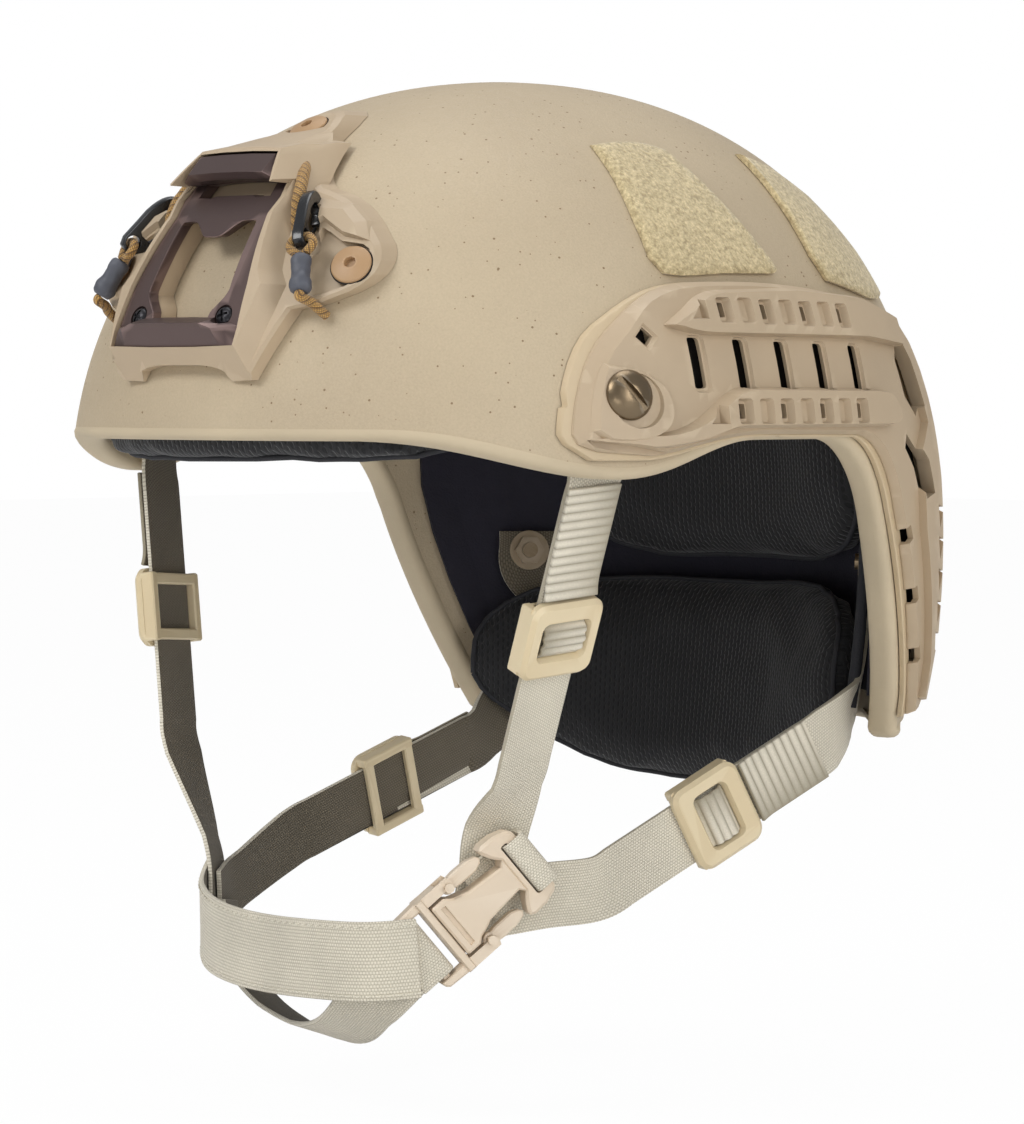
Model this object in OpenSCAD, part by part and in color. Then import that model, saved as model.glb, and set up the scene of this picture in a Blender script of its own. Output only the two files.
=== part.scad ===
// Combat helmet with side accessory rails, front mounting shroud, pad
// liner and four-point webbing harness. All sizes are millimetres.
// +Z is up, the wearer looks along -Y and the wearer's left is +X.
// The origin is the middle of the head opening at the level of the brim.

/* [Shell] */
// Outer width of the shell at its widest level
shell_w = 236; // [226:1:246]
// Outer length of the shell from brow to nape
shell_l = 272; // [262:1:282]
// Height of the crown above the brim
crown_h = 111.5; // [106:0.5:117]
// Thickness of the laminated wall
wall = 9; // [8:0.5:10]
// Lowest point of the temple below the brim
temple_drop = 11.3; // [9.5:0.1:13]
// Lowest point of the nape below the brim
nape_drop = 94; // [90:0.5:98]
// Depth of the moulded edging under the cut edge
edging_h = 3.5; // [2.5:0.1:4.5]

/* [Side rails] */
// Height of the rail web above the shell
web_g = 6; // [5.4:0.1:7]
// Height of the two accessory ridges above the shell
ridge_g = 11; // [10:0.1:12.5]
// Width of the five upright slots
slot_w = 4.6; // [4.2:0.1:5.4]
// Spacing of the slots and of the ridge pockets
slot_pitch = 17.6; // [17:0.1:18]
// Diameter of the domed head of the front bolt
bolt_head_d = 15; // [13.5:0.5:16]

/* [Front shroud] */
// Half width of the bottom block at its foot
shroud_half = 29; // [28:0.5:30]
// Height of the metal insert above the shell
insert_g = 9; // [8.6:0.1:9.6]
// Diameter of the bolt discs
disc_d = 12.5; // [11:0.5:13.5]

/* [Pads] */
// Thickness of the comfort pads
pad_th = 17; // [14:0.5:19]
// Thickness of the nape pad
nape_th = 15; // [12:0.5:17]

/* [Harness] */
// Width of the side webbing
web_w = 20; // [19:0.5:20.5]
// Thickness of the webbing
web_t = 1.5; // [1.3:0.1:1.6]
// Width of the chin webbing
chin_w = 24; // [22:0.5:25]
// Running gap between a slider and its webbing
slider_gap = 0.45; // [0.4:0.05:0.6]
// Length of a slider
slider_l = 25; // [23:0.5:27]
// Width of the buckle across its shoulders
buckle_w = 27; // [26:0.5:28]

/* [Hidden] */

tan_paint = [0.80, 0.73, 0.60];
rail_tan = [0.78, 0.70, 0.58];
cream = [0.88, 0.80, 0.64];
webbing = [0.66, 0.63, 0.56];
black = [0.12, 0.12, 0.13];
metal = [0.40, 0.34, 0.33];
cord_gold = [0.68, 0.50, 0.22];

// Surface of the shell and its offsets
widest_z = -21;
crown_round = 2.15;
plan_round = 2.4;
seat = 0.4;
half_w = shell_w / 2;
half_l = shell_l / 2;

function unit(v) = v / norm(v);
function lerp(a, b, f) = a + (b - a) * f;
function spow(v, e) = sign(v) * pow(abs(v), e);
function tuck(z) = 1 - 0.1 * pow(max(0, widest_z - z) / 100, 2);
function rise(z, g) = pow(1 - pow(min(1, max(0, z - widest_z) / (crown_h + g - widest_z)),
  crown_round), 1 / crown_round);
function swell(z, g) = tuck(z) * rise(z, g);
function dome_pt(t, z, g) = [(half_w + g) * swell(z, g) * spow(cos(t), 2 / plan_round),
  (half_l + g) * swell(z, g) * spow(sin(t), 2 / plan_round), z];
function left_over(v, r) = pow(max(0, 1 - pow(abs(v) / r, plan_round)), 1 / plan_round);
function wall_x(y, z, g) = (half_w + g) * swell(z, g) * left_over(y, (half_l + g) * swell(z, g));
function brow_y(x, z, g) = -(half_l + g) * swell(z, g) * left_over(x, (half_w + g) * swell(z, g));
function crown_r(x, y, g) = pow(pow(abs(x) / (half_w + g), plan_round)
  + pow(abs(y) / (half_l + g), plan_round), 1 / plan_round);
function crown_z(x, y, g) = widest_z + (crown_h + g - widest_z)
  * pow(max(0, 1 - pow(crown_r(x, y, g), crown_round)), 1 / crown_round);
function side_pt(y, z, g) = [wall_x(y, z, g), y, z];
function brow_pt(x, z, g) = [x, brow_y(x, z, g), z];
function side_n(y, z, g = 0) = unit(cross(side_pt(y + 1, z, g) - side_pt(y - 1, z, g),
  side_pt(y, z + 1, g) - side_pt(y, z - 1, g)));
function brow_n(x, z) = unit(cross(brow_pt(x + 1, z, 0) - brow_pt(x - 1, z, 0),
  brow_pt(x, z + 1, 0) - brow_pt(x, z - 1, 0)));

// Curves
function bez(a, b, c, d, n) = [for (i = [0 : n - 1]) let (t = i / n, s = 1 - t)
  a * s * s * s + b * 3 * s * s * t + c * 3 * s * t * t + d * t * t * t];
function flow(a, b, c, d, t) = 0.5 * (2 * b + (c - a) * t + (2 * a - 5 * b + 4 * c - d) * t * t
  + (3 * b - a - 3 * c + d) * t * t * t);
function smooth(p, n) = let (m = len(p) - 1) concat([for (i = [0 : m - 1]) for (k = [0 : n - 1])
  flow(p[max(i - 1, 0)], p[i], p[i + 1], p[min(i + 2, m)], k / n)], [p[m]]);
function key(keys, f) = let (m = len(keys) - 1, i = min(m - 1, floor(f * m)))
  unit(lerp(keys[i], keys[i + 1], f * m - i));

// Solids made from rings of points
module frame_at(p, n, up = [0, 0, 1]) {
  v = unit(up - n * (up * n));
  u = cross(v, n);
  multmatrix([[u[0], v[0], n[0], p[0]], [u[1], v[1], n[1], p[1]],
    [u[2], v[2], n[2], p[2]], [0, 0, 0, 1]]) children();
}
module on_side(y, z, g = 0) frame_at(side_pt(y, z, g), side_n(y, z)) children();
module on_brow(x, z, g = 0) frame_at(brow_pt(x, z, g), brow_n(x, z)) children();

// closed body through equal rings, with a middle point at each end
module rings_body(rings, first, last) {
  n = len(rings);
  m = len(rings[0]);
  polyhedron(concat([for (r = rings) for (p = r) p], [first, last]), concat(
    [for (k = [0 : m - 1]) [n * m, k, (k + 1) % m]],
    [for (r = [0 : n - 2]) for (k = [0 : m - 1]) [r * m + k, r * m + m + k, r * m + (k + 1) % m]],
    [for (r = [0 : n - 2]) for (k = [0 : m - 1])
      [r * m + m + k, r * m + m + (k + 1) % m, r * m + (k + 1) % m]],
    [for (k = [0 : m - 1]) [(n - 1) * m + k, n * m + 1, (n - 1) * m + (k + 1) % m]]));
}
// closed plate between two grids of points
module plate_body(outer, inner) {
  n = len(outer) - 1;
  c = len(outer[0]) - 1;
  m = 2 * c + 2;
  polyhedron([for (i = [0 : n]) for (k = [0 : m - 1]) k <= c ? outer[i][k] : inner[i][m - 1 - k]],
    concat(
      [for (j = [0 : c - 1]) [j, j + 1, 2 * c - j]],
      [for (j = [0 : c - 1]) [j, 2 * c - j, 2 * c + 1 - j]],
      [for (j = [0 : c - 1]) [n * m + j, n * m + 2 * c - j, n * m + j + 1]],
      [for (j = [0 : c - 1]) [n * m + j, n * m + 2 * c + 1 - j, n * m + 2 * c - j]],
      [for (r = [0 : n - 1]) for (k = [0 : m - 1]) [r * m + k, r * m + m + k, r * m + (k + 1) % m]],
      [for (r = [0 : n - 1]) for (k = [0 : m - 1])
        [r * m + m + k, r * m + m + (k + 1) % m, r * m + (k + 1) % m]]));
}
// flat webbing along a path, with its outer face turned to one normal per point
function spread(keys, n) = [for (i = [0 : n - 1]) key(keys, min(0.9999, i / (n - 1)))];
module ribbon(path, norms, w, t) {
  m = len(path) - 1;
  rings = [for (i = [0 : m]) let (
      d = unit(path[min(i + 1, m)] - path[max(i - 1, 0)]),
      s = unit(cross(norms[i], d)),
      n = cross(d, s))
    [path[i] - s * w / 2 - n * t / 2, path[i] + s * w / 2 - n * t / 2,
     path[i] + s * w / 2 + n * t / 2, path[i] - s * w / 2 + n * t / 2]];
  polyhedron([for (r = rings) for (p = r) p], concat([[0, 1, 2], [0, 2, 3]],
    [[4 * m, 4 * m + 2, 4 * m + 1], [4 * m, 4 * m + 3, 4 * m + 2]],
    [for (r = [0 : m - 1]) for (k = [0 : 3]) [4 * r + k, 4 * r + 4 + k, 4 * r + (k + 1) % 4]],
    [for (r = [0 : m - 1]) for (k = [0 : 3])
      [4 * r + 4 + k, 4 * r + 4 + (k + 1) % 4, 4 * r + (k + 1) % 4]]));
}
// round cord along a path
module cord_body(path, d, around = 10) {
  m = len(path) - 1;
  rings = [for (i = [0 : m]) let (
      t = unit(path[min(i + 1, m)] - path[max(i - 1, 0)]),
      a = unit(cross(abs(t[2]) < 0.9 ? [0, 0, 1] : [1, 0, 0], t)),
      b = cross(t, a))
    [for (k = [0 : around - 1]) path[i] + (a * cos(360 * k / around)
      + b * sin(360 * k / around)) * d / 2]];
  rings_body(rings, path[0], path[m]);
}
// slice of the dome shell seen from the side or from the front
module side_slab(g0, g1, y0, y1, z0, z1, ny, nz) plate_body(
  [for (i = [0 : nz]) [for (j = [0 : ny])
    side_pt(lerp(y0, y1, j / ny), lerp(z0, z1, i / nz), g1)]],
  [for (i = [0 : nz]) [for (j = [0 : ny])
    side_pt(lerp(y0, y1, j / ny), lerp(z0, z1, i / nz), g0)]]);
module brow_slab(g0, g1, x0, x1, z0, z1, nx, nz) plate_body(
  [for (i = [0 : nz]) [for (j = [0 : nx])
    brow_pt(lerp(x0, x1, j / nx), lerp(z0, z1, sin(90 * i / nz)), g1)]],
  [for (i = [0 : nz]) [for (j = [0 : nx])
    brow_pt(lerp(x0, x1, j / nx), lerp(z0, z1, sin(90 * i / nz)), g0)]]);
module side_prism(pts) rotate([90, 0, 90]) linear_extrude(150) polygon(pts);
module brow_prism(pts) rotate([90, 0, 0]) linear_extrude(180) polygon(pts);

// Shell
// edge line in side view: brim, temple, ear cut, nape; d is the edging depth
ear_top = [[-6, 0], [24, 0]];
nape_corner = [77, -nape_drop + 3];
function edge_line(d) = concat(
  bez([18 - half_l, d], [36 - half_l, d], [-82, d - temple_drop], [-59, d - temple_drop], 7),
  bez([-59, d - temple_drop], [-40, d - temple_drop], [-28, d], ear_top[0] + [0, d], 7),
  [ear_top[0] + [0, d]],
  bez(ear_top[1] + [0, d], [38, d], [47 + d * 0.7, -9 + d * 0.6], [52 + d, -27 + d * 0.3], 6),
  bez([52 + d, -27 + d * 0.3], [58 + d, -45 + d * 0.3], [69 + d, -72 + d * 0.3],
    nape_corner + [d, 0], 6),
  bez(nape_corner + [d, 0], nape_corner + [d + 0.7, -3 + d * 0.4], nape_corner + [d + 2, -3 + d],
    nape_corner + [7, -3 + d], 3),
  [nape_corner + [7, -3 + d], [108, -nape_drop + 2 + d]]);
module dome(g, low, steps, around) {
  rows = [for (i = [0 : steps + 3]) i < 4 ? lerp(low, widest_z, i / 4)
    : widest_z + (crown_h + g - widest_z) * pow(sin(90 * (i - 4) / steps), 2 / crown_round)];
  rings_body([for (z = rows) [for (k = [0 : around - 1]) dome_pt(360 * k / around, z, g)]],
    [0, 0, low], [0, 0, crown_h + g]);
}
module edge_cut(d) rotate([90, 0, 90]) translate([0, 0, -150]) linear_extrude(300)
  polygon(concat([[-200, -180], [-200, d]], edge_line(d), [[200, -nape_drop + 4 + d], [200, -180]]));
rail_bolt = [-60, 12];
nape_bolt = [half_l * 0.735, -41];
shroud_top_z = 89.8;
shroud_side = [50.1, 48.7];
bolt_bore = 5.4;
module shell() color(tan_paint) difference() {
  dome(0, -112, 11, 60);
  dome(-wall, -120, 10, 54);
  edge_cut(edging_h);
  for (s = [0, 1]) mirror([s, 0, 0]) {
    on_side(rail_bolt[0], rail_bolt[1]) cylinder(d = bolt_bore, h = 60, center = true, $fn = 40);
    on_side(nape_bolt[0], nape_bolt[1]) {
      cylinder(d = bolt_bore, h = 50, center = true, $fn = 40);
      translate([0, 0, -0.7]) cylinder(d = 14, h = 8, $fn = 48);
    }
    on_brow(shroud_side[0], shroud_side[1]) cylinder(d = bolt_bore, h = 50, center = true, $fn = 40);
  }
  on_brow(0, shroud_top_z) cylinder(d = bolt_bore, h = 60, center = true, $fn = 40);
}

// moulded edging: follows the cut edge all the way round
rim_half = let (line = edge_line(edging_h), a = line[0], b = line[len(line) - 1]) concat(
  [for (i = [0 : 6]) [1, i / 7, a[1], 0, -1]],
  [for (i = [0 : len(line) - 1]) let (
      p = line[max(i - 1, 0)], q = line[min(i + 1, len(line) - 1)], d = unit(q - p))
    [0, line[i][0], line[i][1], d[1], -d[0]]],
  [for (i = [1 : 7]) [2, 1 - i / 7, b[1], 0, -1]]);
rim_a = edge_line(edging_h)[0];
rim_b = edge_line(edging_h)[len(edge_line(edging_h)) - 1];
function rim_pt(r, g) = r[0] == 0 ? side_pt(r[1], r[2], g)
  : let (e = r[0] == 1 ? rim_a : rim_b, x = r[1] * wall_x(e[0], e[1], g))
    [x, (r[0] == 1 ? 1 : -1) * brow_y(x, e[1], g), e[1]];
rim_form = [[0, 0], [0, 0.45], [0.06, 0.75], [0.2, 0.95], [0.5, 1], [0.8, 0.95], [0.94, 0.75],
  [1, 0.45], [1, 0]];
function rim_ring(r, s) = [for (f = rim_form) let (p = lerp(rim_pt(r, 0), rim_pt(r, -wall), f[0]))
  [s * p[0], p[1] + r[3] * edging_h * f[1], p[2] + r[4] * edging_h * f[1]]];
module edge_trim() color(tan_paint) {
  n = len(rim_half);
  loop = concat([for (i = [0 : n - 1]) rim_ring(rim_half[i], 1)],
    [for (i = [n - 2 : -1 : 1]) rim_ring(rim_half[i], -1)]);
  q = len(loop);
  m = len(rim_form);
  polyhedron([for (r = loop) for (p = r) p], concat(
    [for (i = [0 : q - 1]) for (k = [0 : m - 1])
      [i * m + k, i * m + (k + 1) % m, ((i + 1) % q) * m + k]],
    [for (i = [0 : q - 1]) for (k = [0 : m - 1])
      [((i + 1) % q) * m + k, i * m + (k + 1) % m, ((i + 1) % q) * m + (k + 1) % m]]));
}

// Side rails
backing_g = 2.4;
web_low = backing_g + 0.1;
// outline of the rail in side view, grown by e on every side
function rail_line(e) = concat(
  bez([-77 - e, 2], [-76 - e, 10], [-72 - e, 24 + e], [-62 - e * 0.7, 32 + e * 0.7], 4),
  bez([-62 - e * 0.7, 32 + e * 0.7], [-52, 40 + e * 0.4], [-44, 46], [-28, 46.8], 4),
  bez([-28, 46.8], [0, 48], [30, 47], [58, 40], 4),
  bez([58, 40], [70, 36], [74, 22], [79, 6], 4),
  bez([79, 6], [86, -16], [90, -40], [91, -76], 4),
  [[90, -80 - e * 0.3], [84, -86 - e * 0.3], [79.5 - e, -87 - e * 0.3]],
  bez([77.5 - e * 0.6, -80], [70 - e, -58], [62 - e, -36], [56 - e, -22], 5),
  bez([56 - e, -22], [52 - e, -10 - e * 0.5], [46 - e, 1.6 - e * 0.4], [32, 1.8 - e * 0.3], 5),
  [[-10, 1.8 - e * 0.3]],
  bez([-16, 1.6 - e * 0.3], [-34, 0.5 - e * 0.5], [-44, -4.2 - e * 0.5], [-57, -4.6 - e * 0.5], 5),
  [[-70 - e * 0.5, -3 - e], [-75.5 - e, -1]]);
module rail_slab(g0, g1) side_slab(g0, g1, -84, 98, -92, 52, 15, 12);
module pill(y, z, w, h) rotate([90, 0, 90]) linear_extrude(150) translate([y, z]) {
  square([w, h - w * 0.5], center = true);
  square([w - w * 0.5, h], center = true);
  for (a = [-1, 1]) for (b = [-1, 1])
    translate([a * w * 0.25, b * (h / 2 - w * 0.25)]) circle(d = w * 0.5, $fn = 24);
}
rail_face = 7.4;
through_y = -24.6;
blind_y = through_y + slot_pitch / 2;
upper_z = 38.5;
lower_z = 8.6;
ridge_low = backing_g + 1.6;
module rail_shape() difference() {
  union() {
    intersection() {
      rail_slab(web_low, web_g);
      side_prism(rail_line(0));
    }
    // upper accessory ridge, rising from the web at its front end
    intersection() {
      side_slab(ridge_low, ridge_g - 1, -48, 64, 28, 50, 10, 4);
      side_prism(concat([[-40, 33], [-26, 31.6], [40, 31], [61, 29]],
        [[60, 37], [42, 42.5], [10, 44.5], [-22, 43.5]]));
    }
    // lower accessory ridge, falling to the front bolt
    intersection() {
      side_slab(ridge_low, ridge_g, -74, 54, -4, 20, 11, 4);
      side_prism(concat(bez([-70, 0.5], [-60, -1.6], [-44, -1], [-32, 3], 4),
        [[-22, 4.4], [44, 4.4], [49, 8]], [[43, 14.4], [-24, 15]],
        bez([-26, 15], [-34, 14], [-40, 4], [-50, 2.4], 4)));
    }
    // raised field round the front bolt
    intersection() {
      side_slab(ridge_low, 8, -74, -44, -2, 28, 3, 3);
      side_prism(concat(bez([-71, 4], [-70, 14], [-68, 20], [-64, 24], 3),
        bez([-64, 24], [-56, 21], [-48, 20], [-49, 10], 4),
        bez([-49, 10], [-50, 2], [-60, 1.5], [-68, 1.5], 4)));
    }
    // arched rib over the rear opening and rear arm ridge
    intersection() {
      side_slab(ridge_low, 8.6, 50, 96, -90, 40, 5, 12);
      side_prism(concat([[64, 36]], bez([70, 30], [76, 20], [80, 6], [82, -4], 3),
        bez([84, -12], [88, -36], [88.5, -56], [88.5, -76], 3), [[83, -83], [80.5, -82]],
        bez([81, -70], [76, -50], [71, -34], [66, -20], 4), [[66, -4], [73, 5], [68, 18], [60, 31]]));
    }
  }
  // five upright slots of the accessory channel
  for (i = [0 : 4]) pill(-35 + slot_pitch * i, 22.8 - 0.5 * i, slot_w, 15);
  // ridge pockets: every second one goes right through
  for (i = [0 : 3]) for (z = [upper_z, lower_z]) pill(through_y + slot_pitch * i,
    z - (z > 20 ? 0.4 * i : 0), 4.4, 6.4);
  for (i = [0 : 2]) for (z = [upper_z, lower_z]) difference() {
    pill(blind_y + slot_pitch * i, z - (z > 20 ? 0.4 * i : 0), 4.4, 6.2);
    side_slab(-1, web_g + 1.6, -40, 60, -10, 60, 6, 4);
  }
  for (z = [upper_z + 0.6, lower_z - 0.4]) difference() {
    side_prism([[-36.5, z - 3], [-31.5, z - 3], [-31.5, z + 2.6]]);
    side_slab(-1, web_g + 2, -44, -24, -10, 60, 2, 4);
  }
  // small square window above the front bolt
  side_prism([[-54.8, 30.4], [-51.6, 33.6], [-48.6, 30.4], [-51.8, 27.2]]);
  // rear openings
  side_prism([[63, 29.5], [66.5, 24], [72, 10], [69.5, 7], [63, 13], [60.5, 24]]);
  side_prism([[61, 1], [64.5, -2], [71.5, -7], [76, -17], [69.5, -18.5], [65, -9], [59.5, -3]]);
  // clip holes in the inner edge of the arm and notches in its ridge
  for (i = [0 : 2]) side_prism([[58.5 + 6.6 * i, -28.5 - 19 * i], [62.2 + 6.6 * i, -27 - 19 * i],
    [64 + 6.6 * i, -31 - 19 * i], [60.5 + 6.6 * i, -33 - 19 * i]]);
  for (i = [0 : 4]) difference() {
    side_prism([[80 + 0.9 * i, -21 - 10 * i], [84.5 + 0.7 * i, -22 - 10 * i],
      [82 + 0.9 * i, -28 - 10 * i]]);
    side_slab(-1, 7.2, 60, 98, -90, 0, 3, 6);
  }
  on_side(rail_bolt[0], rail_bolt[1]) {
    cylinder(d = bolt_bore, h = 60, center = true, $fn = 40);
    translate([0, 0, rail_face]) cylinder(d = bolt_head_d + 0.8, h = 8, $fn = 48);
  }
}
module backing_shape() difference() {
  intersection() {
    rail_slab(seat, backing_g);
    side_prism(rail_line(2.6));
  }
  side_prism(concat([[-44, 34], [-30, 38], [52, 34], [56, 12], [44, 9], [-40, 8]]));
  side_prism(concat([[62, 30], [70, 12], [82, -14], [84, -70], [82, -70], [66, -26], [58, -6]]));
  on_side(rail_bolt[0], rail_bolt[1]) cylinder(d = bolt_bore, h = 60, center = true, $fn = 40);
}
module left_rail() color(rail_tan) rail_shape();
module right_rail() color(rail_tan) mirror([1, 0, 0]) rail_shape();
module left_backing() color(tan_paint) backing_shape();
module right_backing() color(tan_paint) mirror([1, 0, 0]) backing_shape();

// bolt with domed slotted head; z = 0 is the seat of the head
shank_d = bolt_bore - 0.2;
nut_h = 3.4;
module domed_bolt(d, h, grip, slot) {
  difference() {
    intersection() {
      cylinder(d = d, h = h, $fn = 48);
      translate([0, 0, h - (d * d / 4 + h * h) / (2 * h)])
        sphere(d = (d * d / 4 + h * h) / h, $fn = 48);
    }
    translate([0, 0, h]) cube([d * 1.1, slot, h * 0.9], center = true);
  }
  translate([0, 0, -grip]) cylinder(d = shank_d, h = grip + 0.1, $fn = 40);
}
// the head sits on a flat spot face cut in the rail
strap_lift = 1.6;
rail_grip = rail_face + wall + strap_lift + web_t + nut_h + 1.6;
module rail_bolts() color(metal) for (s = [0, 1]) mirror([s, 0, 0])
  on_side(rail_bolt[0], rail_bolt[1]) translate([0, 0, rail_face + 0.02]) rotate([0, 0, 35])
    domed_bolt(bolt_head_d, 4, rail_grip, 2);
module lock_nut(hex, h, d) difference() {
  union() {
    cylinder(d = hex, h = h, $fn = 6);
    translate([0, 0, h - 0.9]) cylinder(d = hex + 3.4, h = 0.9, $fn = 40);
  }
  translate([0, 0, -1]) cylinder(d = d, h = h + 2, $fn = 40);
}
module rail_nuts() color(metal) for (s = [0, 1]) mirror([s, 0, 0])
  on_side(rail_bolt[0], rail_bolt[1]) translate([0, 0, -wall - strap_lift - web_t - 0.4 - nut_h])
    lock_nut(10, nut_h, shank_d + 0.1);
band_g = 2.2;
band_seat = 0.75;
nape_lift = band_seat + band_g + 3;
module nape_bolts() color(metal) for (s = [0, 1]) mirror([s, 0, 0])
  on_side(nape_bolt[0], nape_bolt[1]) translate([0, 0, -0.68]) rotate([0, 0, 50])
    domed_bolt(13, 3.4, wall + nape_lift + web_t + nut_h + 0.9, 2);
module nape_nuts() color(metal) for (s = [0, 1]) mirror([s, 0, 0])
  on_side(nape_bolt[0], nape_bolt[1]) translate([0, 0, -wall - nape_lift - web_t - 0.35 - nut_h])
    lock_nut(10, nut_h, shank_d + 0.1);

// Loop patches
patch_g = 1.5;
module patch_shape(pts, y0, y1) intersection() {
  side_slab(seat, seat + patch_g, y0, y1, 40, 94, 8, 6);
  side_prism(pts);
}
front_patch_line = concat(bez([-31, 88.5], [-20, 90.5], [-12, 91], [-4, 88], 3),
  [[14, 54]], bez([15, 51.5], [14, 50], [12, 50], [8, 50], 3),
  bez([-10, 49.8], [-22, 49], [-30, 48], [-36, 50], 3), [[-36.5, 54], [-35.5, 66]]);
rear_patch_line = concat([[34, 88], [46, 85], [60, 76], [74, 58.5], [79, 47]],
  bez([79, 45], [77, 43.4], [70, 42.6], [60, 44], 3), [[40, 48.4], [36.5, 56]]);
module left_front_patch() color(cream) patch_shape(front_patch_line, -40, 18);
module left_rear_patch() color(cream) patch_shape(rear_patch_line, 32, 82);
module right_front_patch() color(cream) mirror([1, 0, 0]) patch_shape(front_patch_line, -40, 18);
module right_rear_patch() color(cream) mirror([1, 0, 0]) patch_shape(rear_patch_line, 32, 82);

// Front shroud
function both(pts) = concat(pts, [for (i = [len(pts) - 1 : -1 : 0]) [-pts[i][0], pts[i][1]]]);
foot_line = [[shroud_half, 17.8], [20, 17.4], [19, 20], [7, 22.2]];
shroud_line = both(concat([[3, 100], [7, 98.4], [10, 95], [12, 90], [17, 86.5]],
  bez([19, 83], [21, 79], [25, 75.5], [31, 73.4], 3), bez([34, 73], [42, 70.5], [49, 65.5], [54, 60], 3),
  bez([56.5, 57.5], [61.5, 51], [59, 45.5], [51, 42], 3), [[46, 40], [38, 38.4]], foot_line));
frame_line = both(concat([[6, 88.2], [18.4, 87.4], [23.6, 77], [24.6, 72], [23.4, 67.5], [28.6, 50],
  [32.2, 45.6], [31.2, 38]], foot_line));
crest_line = both([[6, 89], [17.6, 88.2], [23.6, 77], [21.8, 76.2], [17.2, 85.7], [6, 86.1]]);
neck_line = both([[6, 91.5], [14, 90.5], [18, 87.5], [6, 86.5]]);
window_line = both([[6, 66], [17, 65.6], [18.4, 47], [18, 43], [14, 39], [12.4, 35.2], [6, 34.8]]);
gusset_line = [[30.5, 71.5], [42.5, 68.8], [50, 63.6], [53.5, 58.6], [46.5, 59.8], [37, 64.6], [29, 60]];
shroud_g = 5.4;
frame_g = insert_g - 3.2;
rim_g = insert_g + 2;
crest_g = insert_g + 7.4;
// front slope of the block and of the bar, as y and z
slope = [[-131.4, 16.8], [-138.2, 27.4], [-141.3, 34.5], [-170, 34.5], [-170, 10], [-131.4, 10]];
module front_slope() translate([0, 136 - half_l, 0]) rotate([90, 0, 90]) translate([0, 0, -60])
  linear_extrude(120) polygon(slope);
disc_face = 4.7;
screw_at = [18.2, 33.2];
module shroud_base() color(rail_tan) union() {
  difference() {
  union() {
    intersection() {
      brow_slab(seat, shroud_g, -64, 64, 14, 105, 16, 11);
      brow_prism(shroud_line);
    }
    // frame with a bed for the insert
    difference() {
      intersection() {
        brow_slab(seat, rim_g, -38, 38, 14, 92, 8, 8);
        brow_prism(frame_line);
      }
      intersection() {
        brow_slab(frame_g, rim_g + 20, -32, 32, 22, 90, 8, 8);
        brow_prism(bed_line);
      }
    }
    // crest round the lip and the neck behind it
    intersection() {
      brow_slab(seat, crest_g, -28, 28, 70, 92, 6, 4);
      brow_prism(crest_line);
    }
    intersection() {
      brow_slab(seat, rim_g, -24, 24, 80, 93, 6, 4);
      brow_prism(neck_line);
    }
    for (s = [0, 1]) mirror([s, 0, 0]) intersection() {
      brow_slab(seat, shroud_g + 1.4, 26, 62, 50, 78, 5, 4);
      brow_prism(gusset_line);
    }
  }
  front_slope();
  brow_prism(window_line);
  for (s = [0, 1]) mirror([s, 0, 0]) {
    on_brow(shroud_side[0], shroud_side[1]) {
      cylinder(d = bolt_bore, h = 60, center = true, $fn = 40);
      translate([0, 0, disc_face]) cylinder(d = disc_d + 0.8, h = 9, $fn = 48);
    }
    on_brow(screw_at[0], screw_at[1]) translate([0, 0, 2.2]) cylinder(d = 3.2, h = 40, $fn = 32);
    frame_at(tail_in + tail_dir * 2, tail_dir) cylinder(d = 4.4, h = 14, center = true, $fn = 32);
    hook_frame() translate([-hook_w / 2 - 0.8, -8, -10.6]) cube([hook_w + 1.6, 16.8, 22]);
  }
  on_brow(0, shroud_top_z) {
    cylinder(d = bolt_bore, h = 60, center = true, $fn = 40);
    translate([0, 0, disc_face]) cylinder(d = disc_d + 0.8, h = 9, $fn = 48);
  }
  }
  // staple that the snap hook hangs on
  for (s = [0, 1]) mirror([s, 0, 0]) hook_frame() {
    translate([0, bar_y, bar_z]) rotate([0, 90, 0])
      cylinder(d = bar_d, h = hook_w + 5.6, center = true, $fn = 32);
    for (a = [-1, 1]) translate([a * (hook_w / 2 + 1.9), bar_y, (bar_z - 9.4) / 2])
      cube([1.8, bar_d, -9.4 - bar_z > 0 ? 1 : bar_z + 9.4], center = true);
  }
}
insert_low = frame_g + 0.3;
insert_line = both([[6, 85.7], [16.8, 85.3], [21.4, 76.4], [22.5, 72], [21.3, 67], [25.8, 46], [27.1, 33],
  [27, 28.2], [10, 27.9]]);
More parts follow.
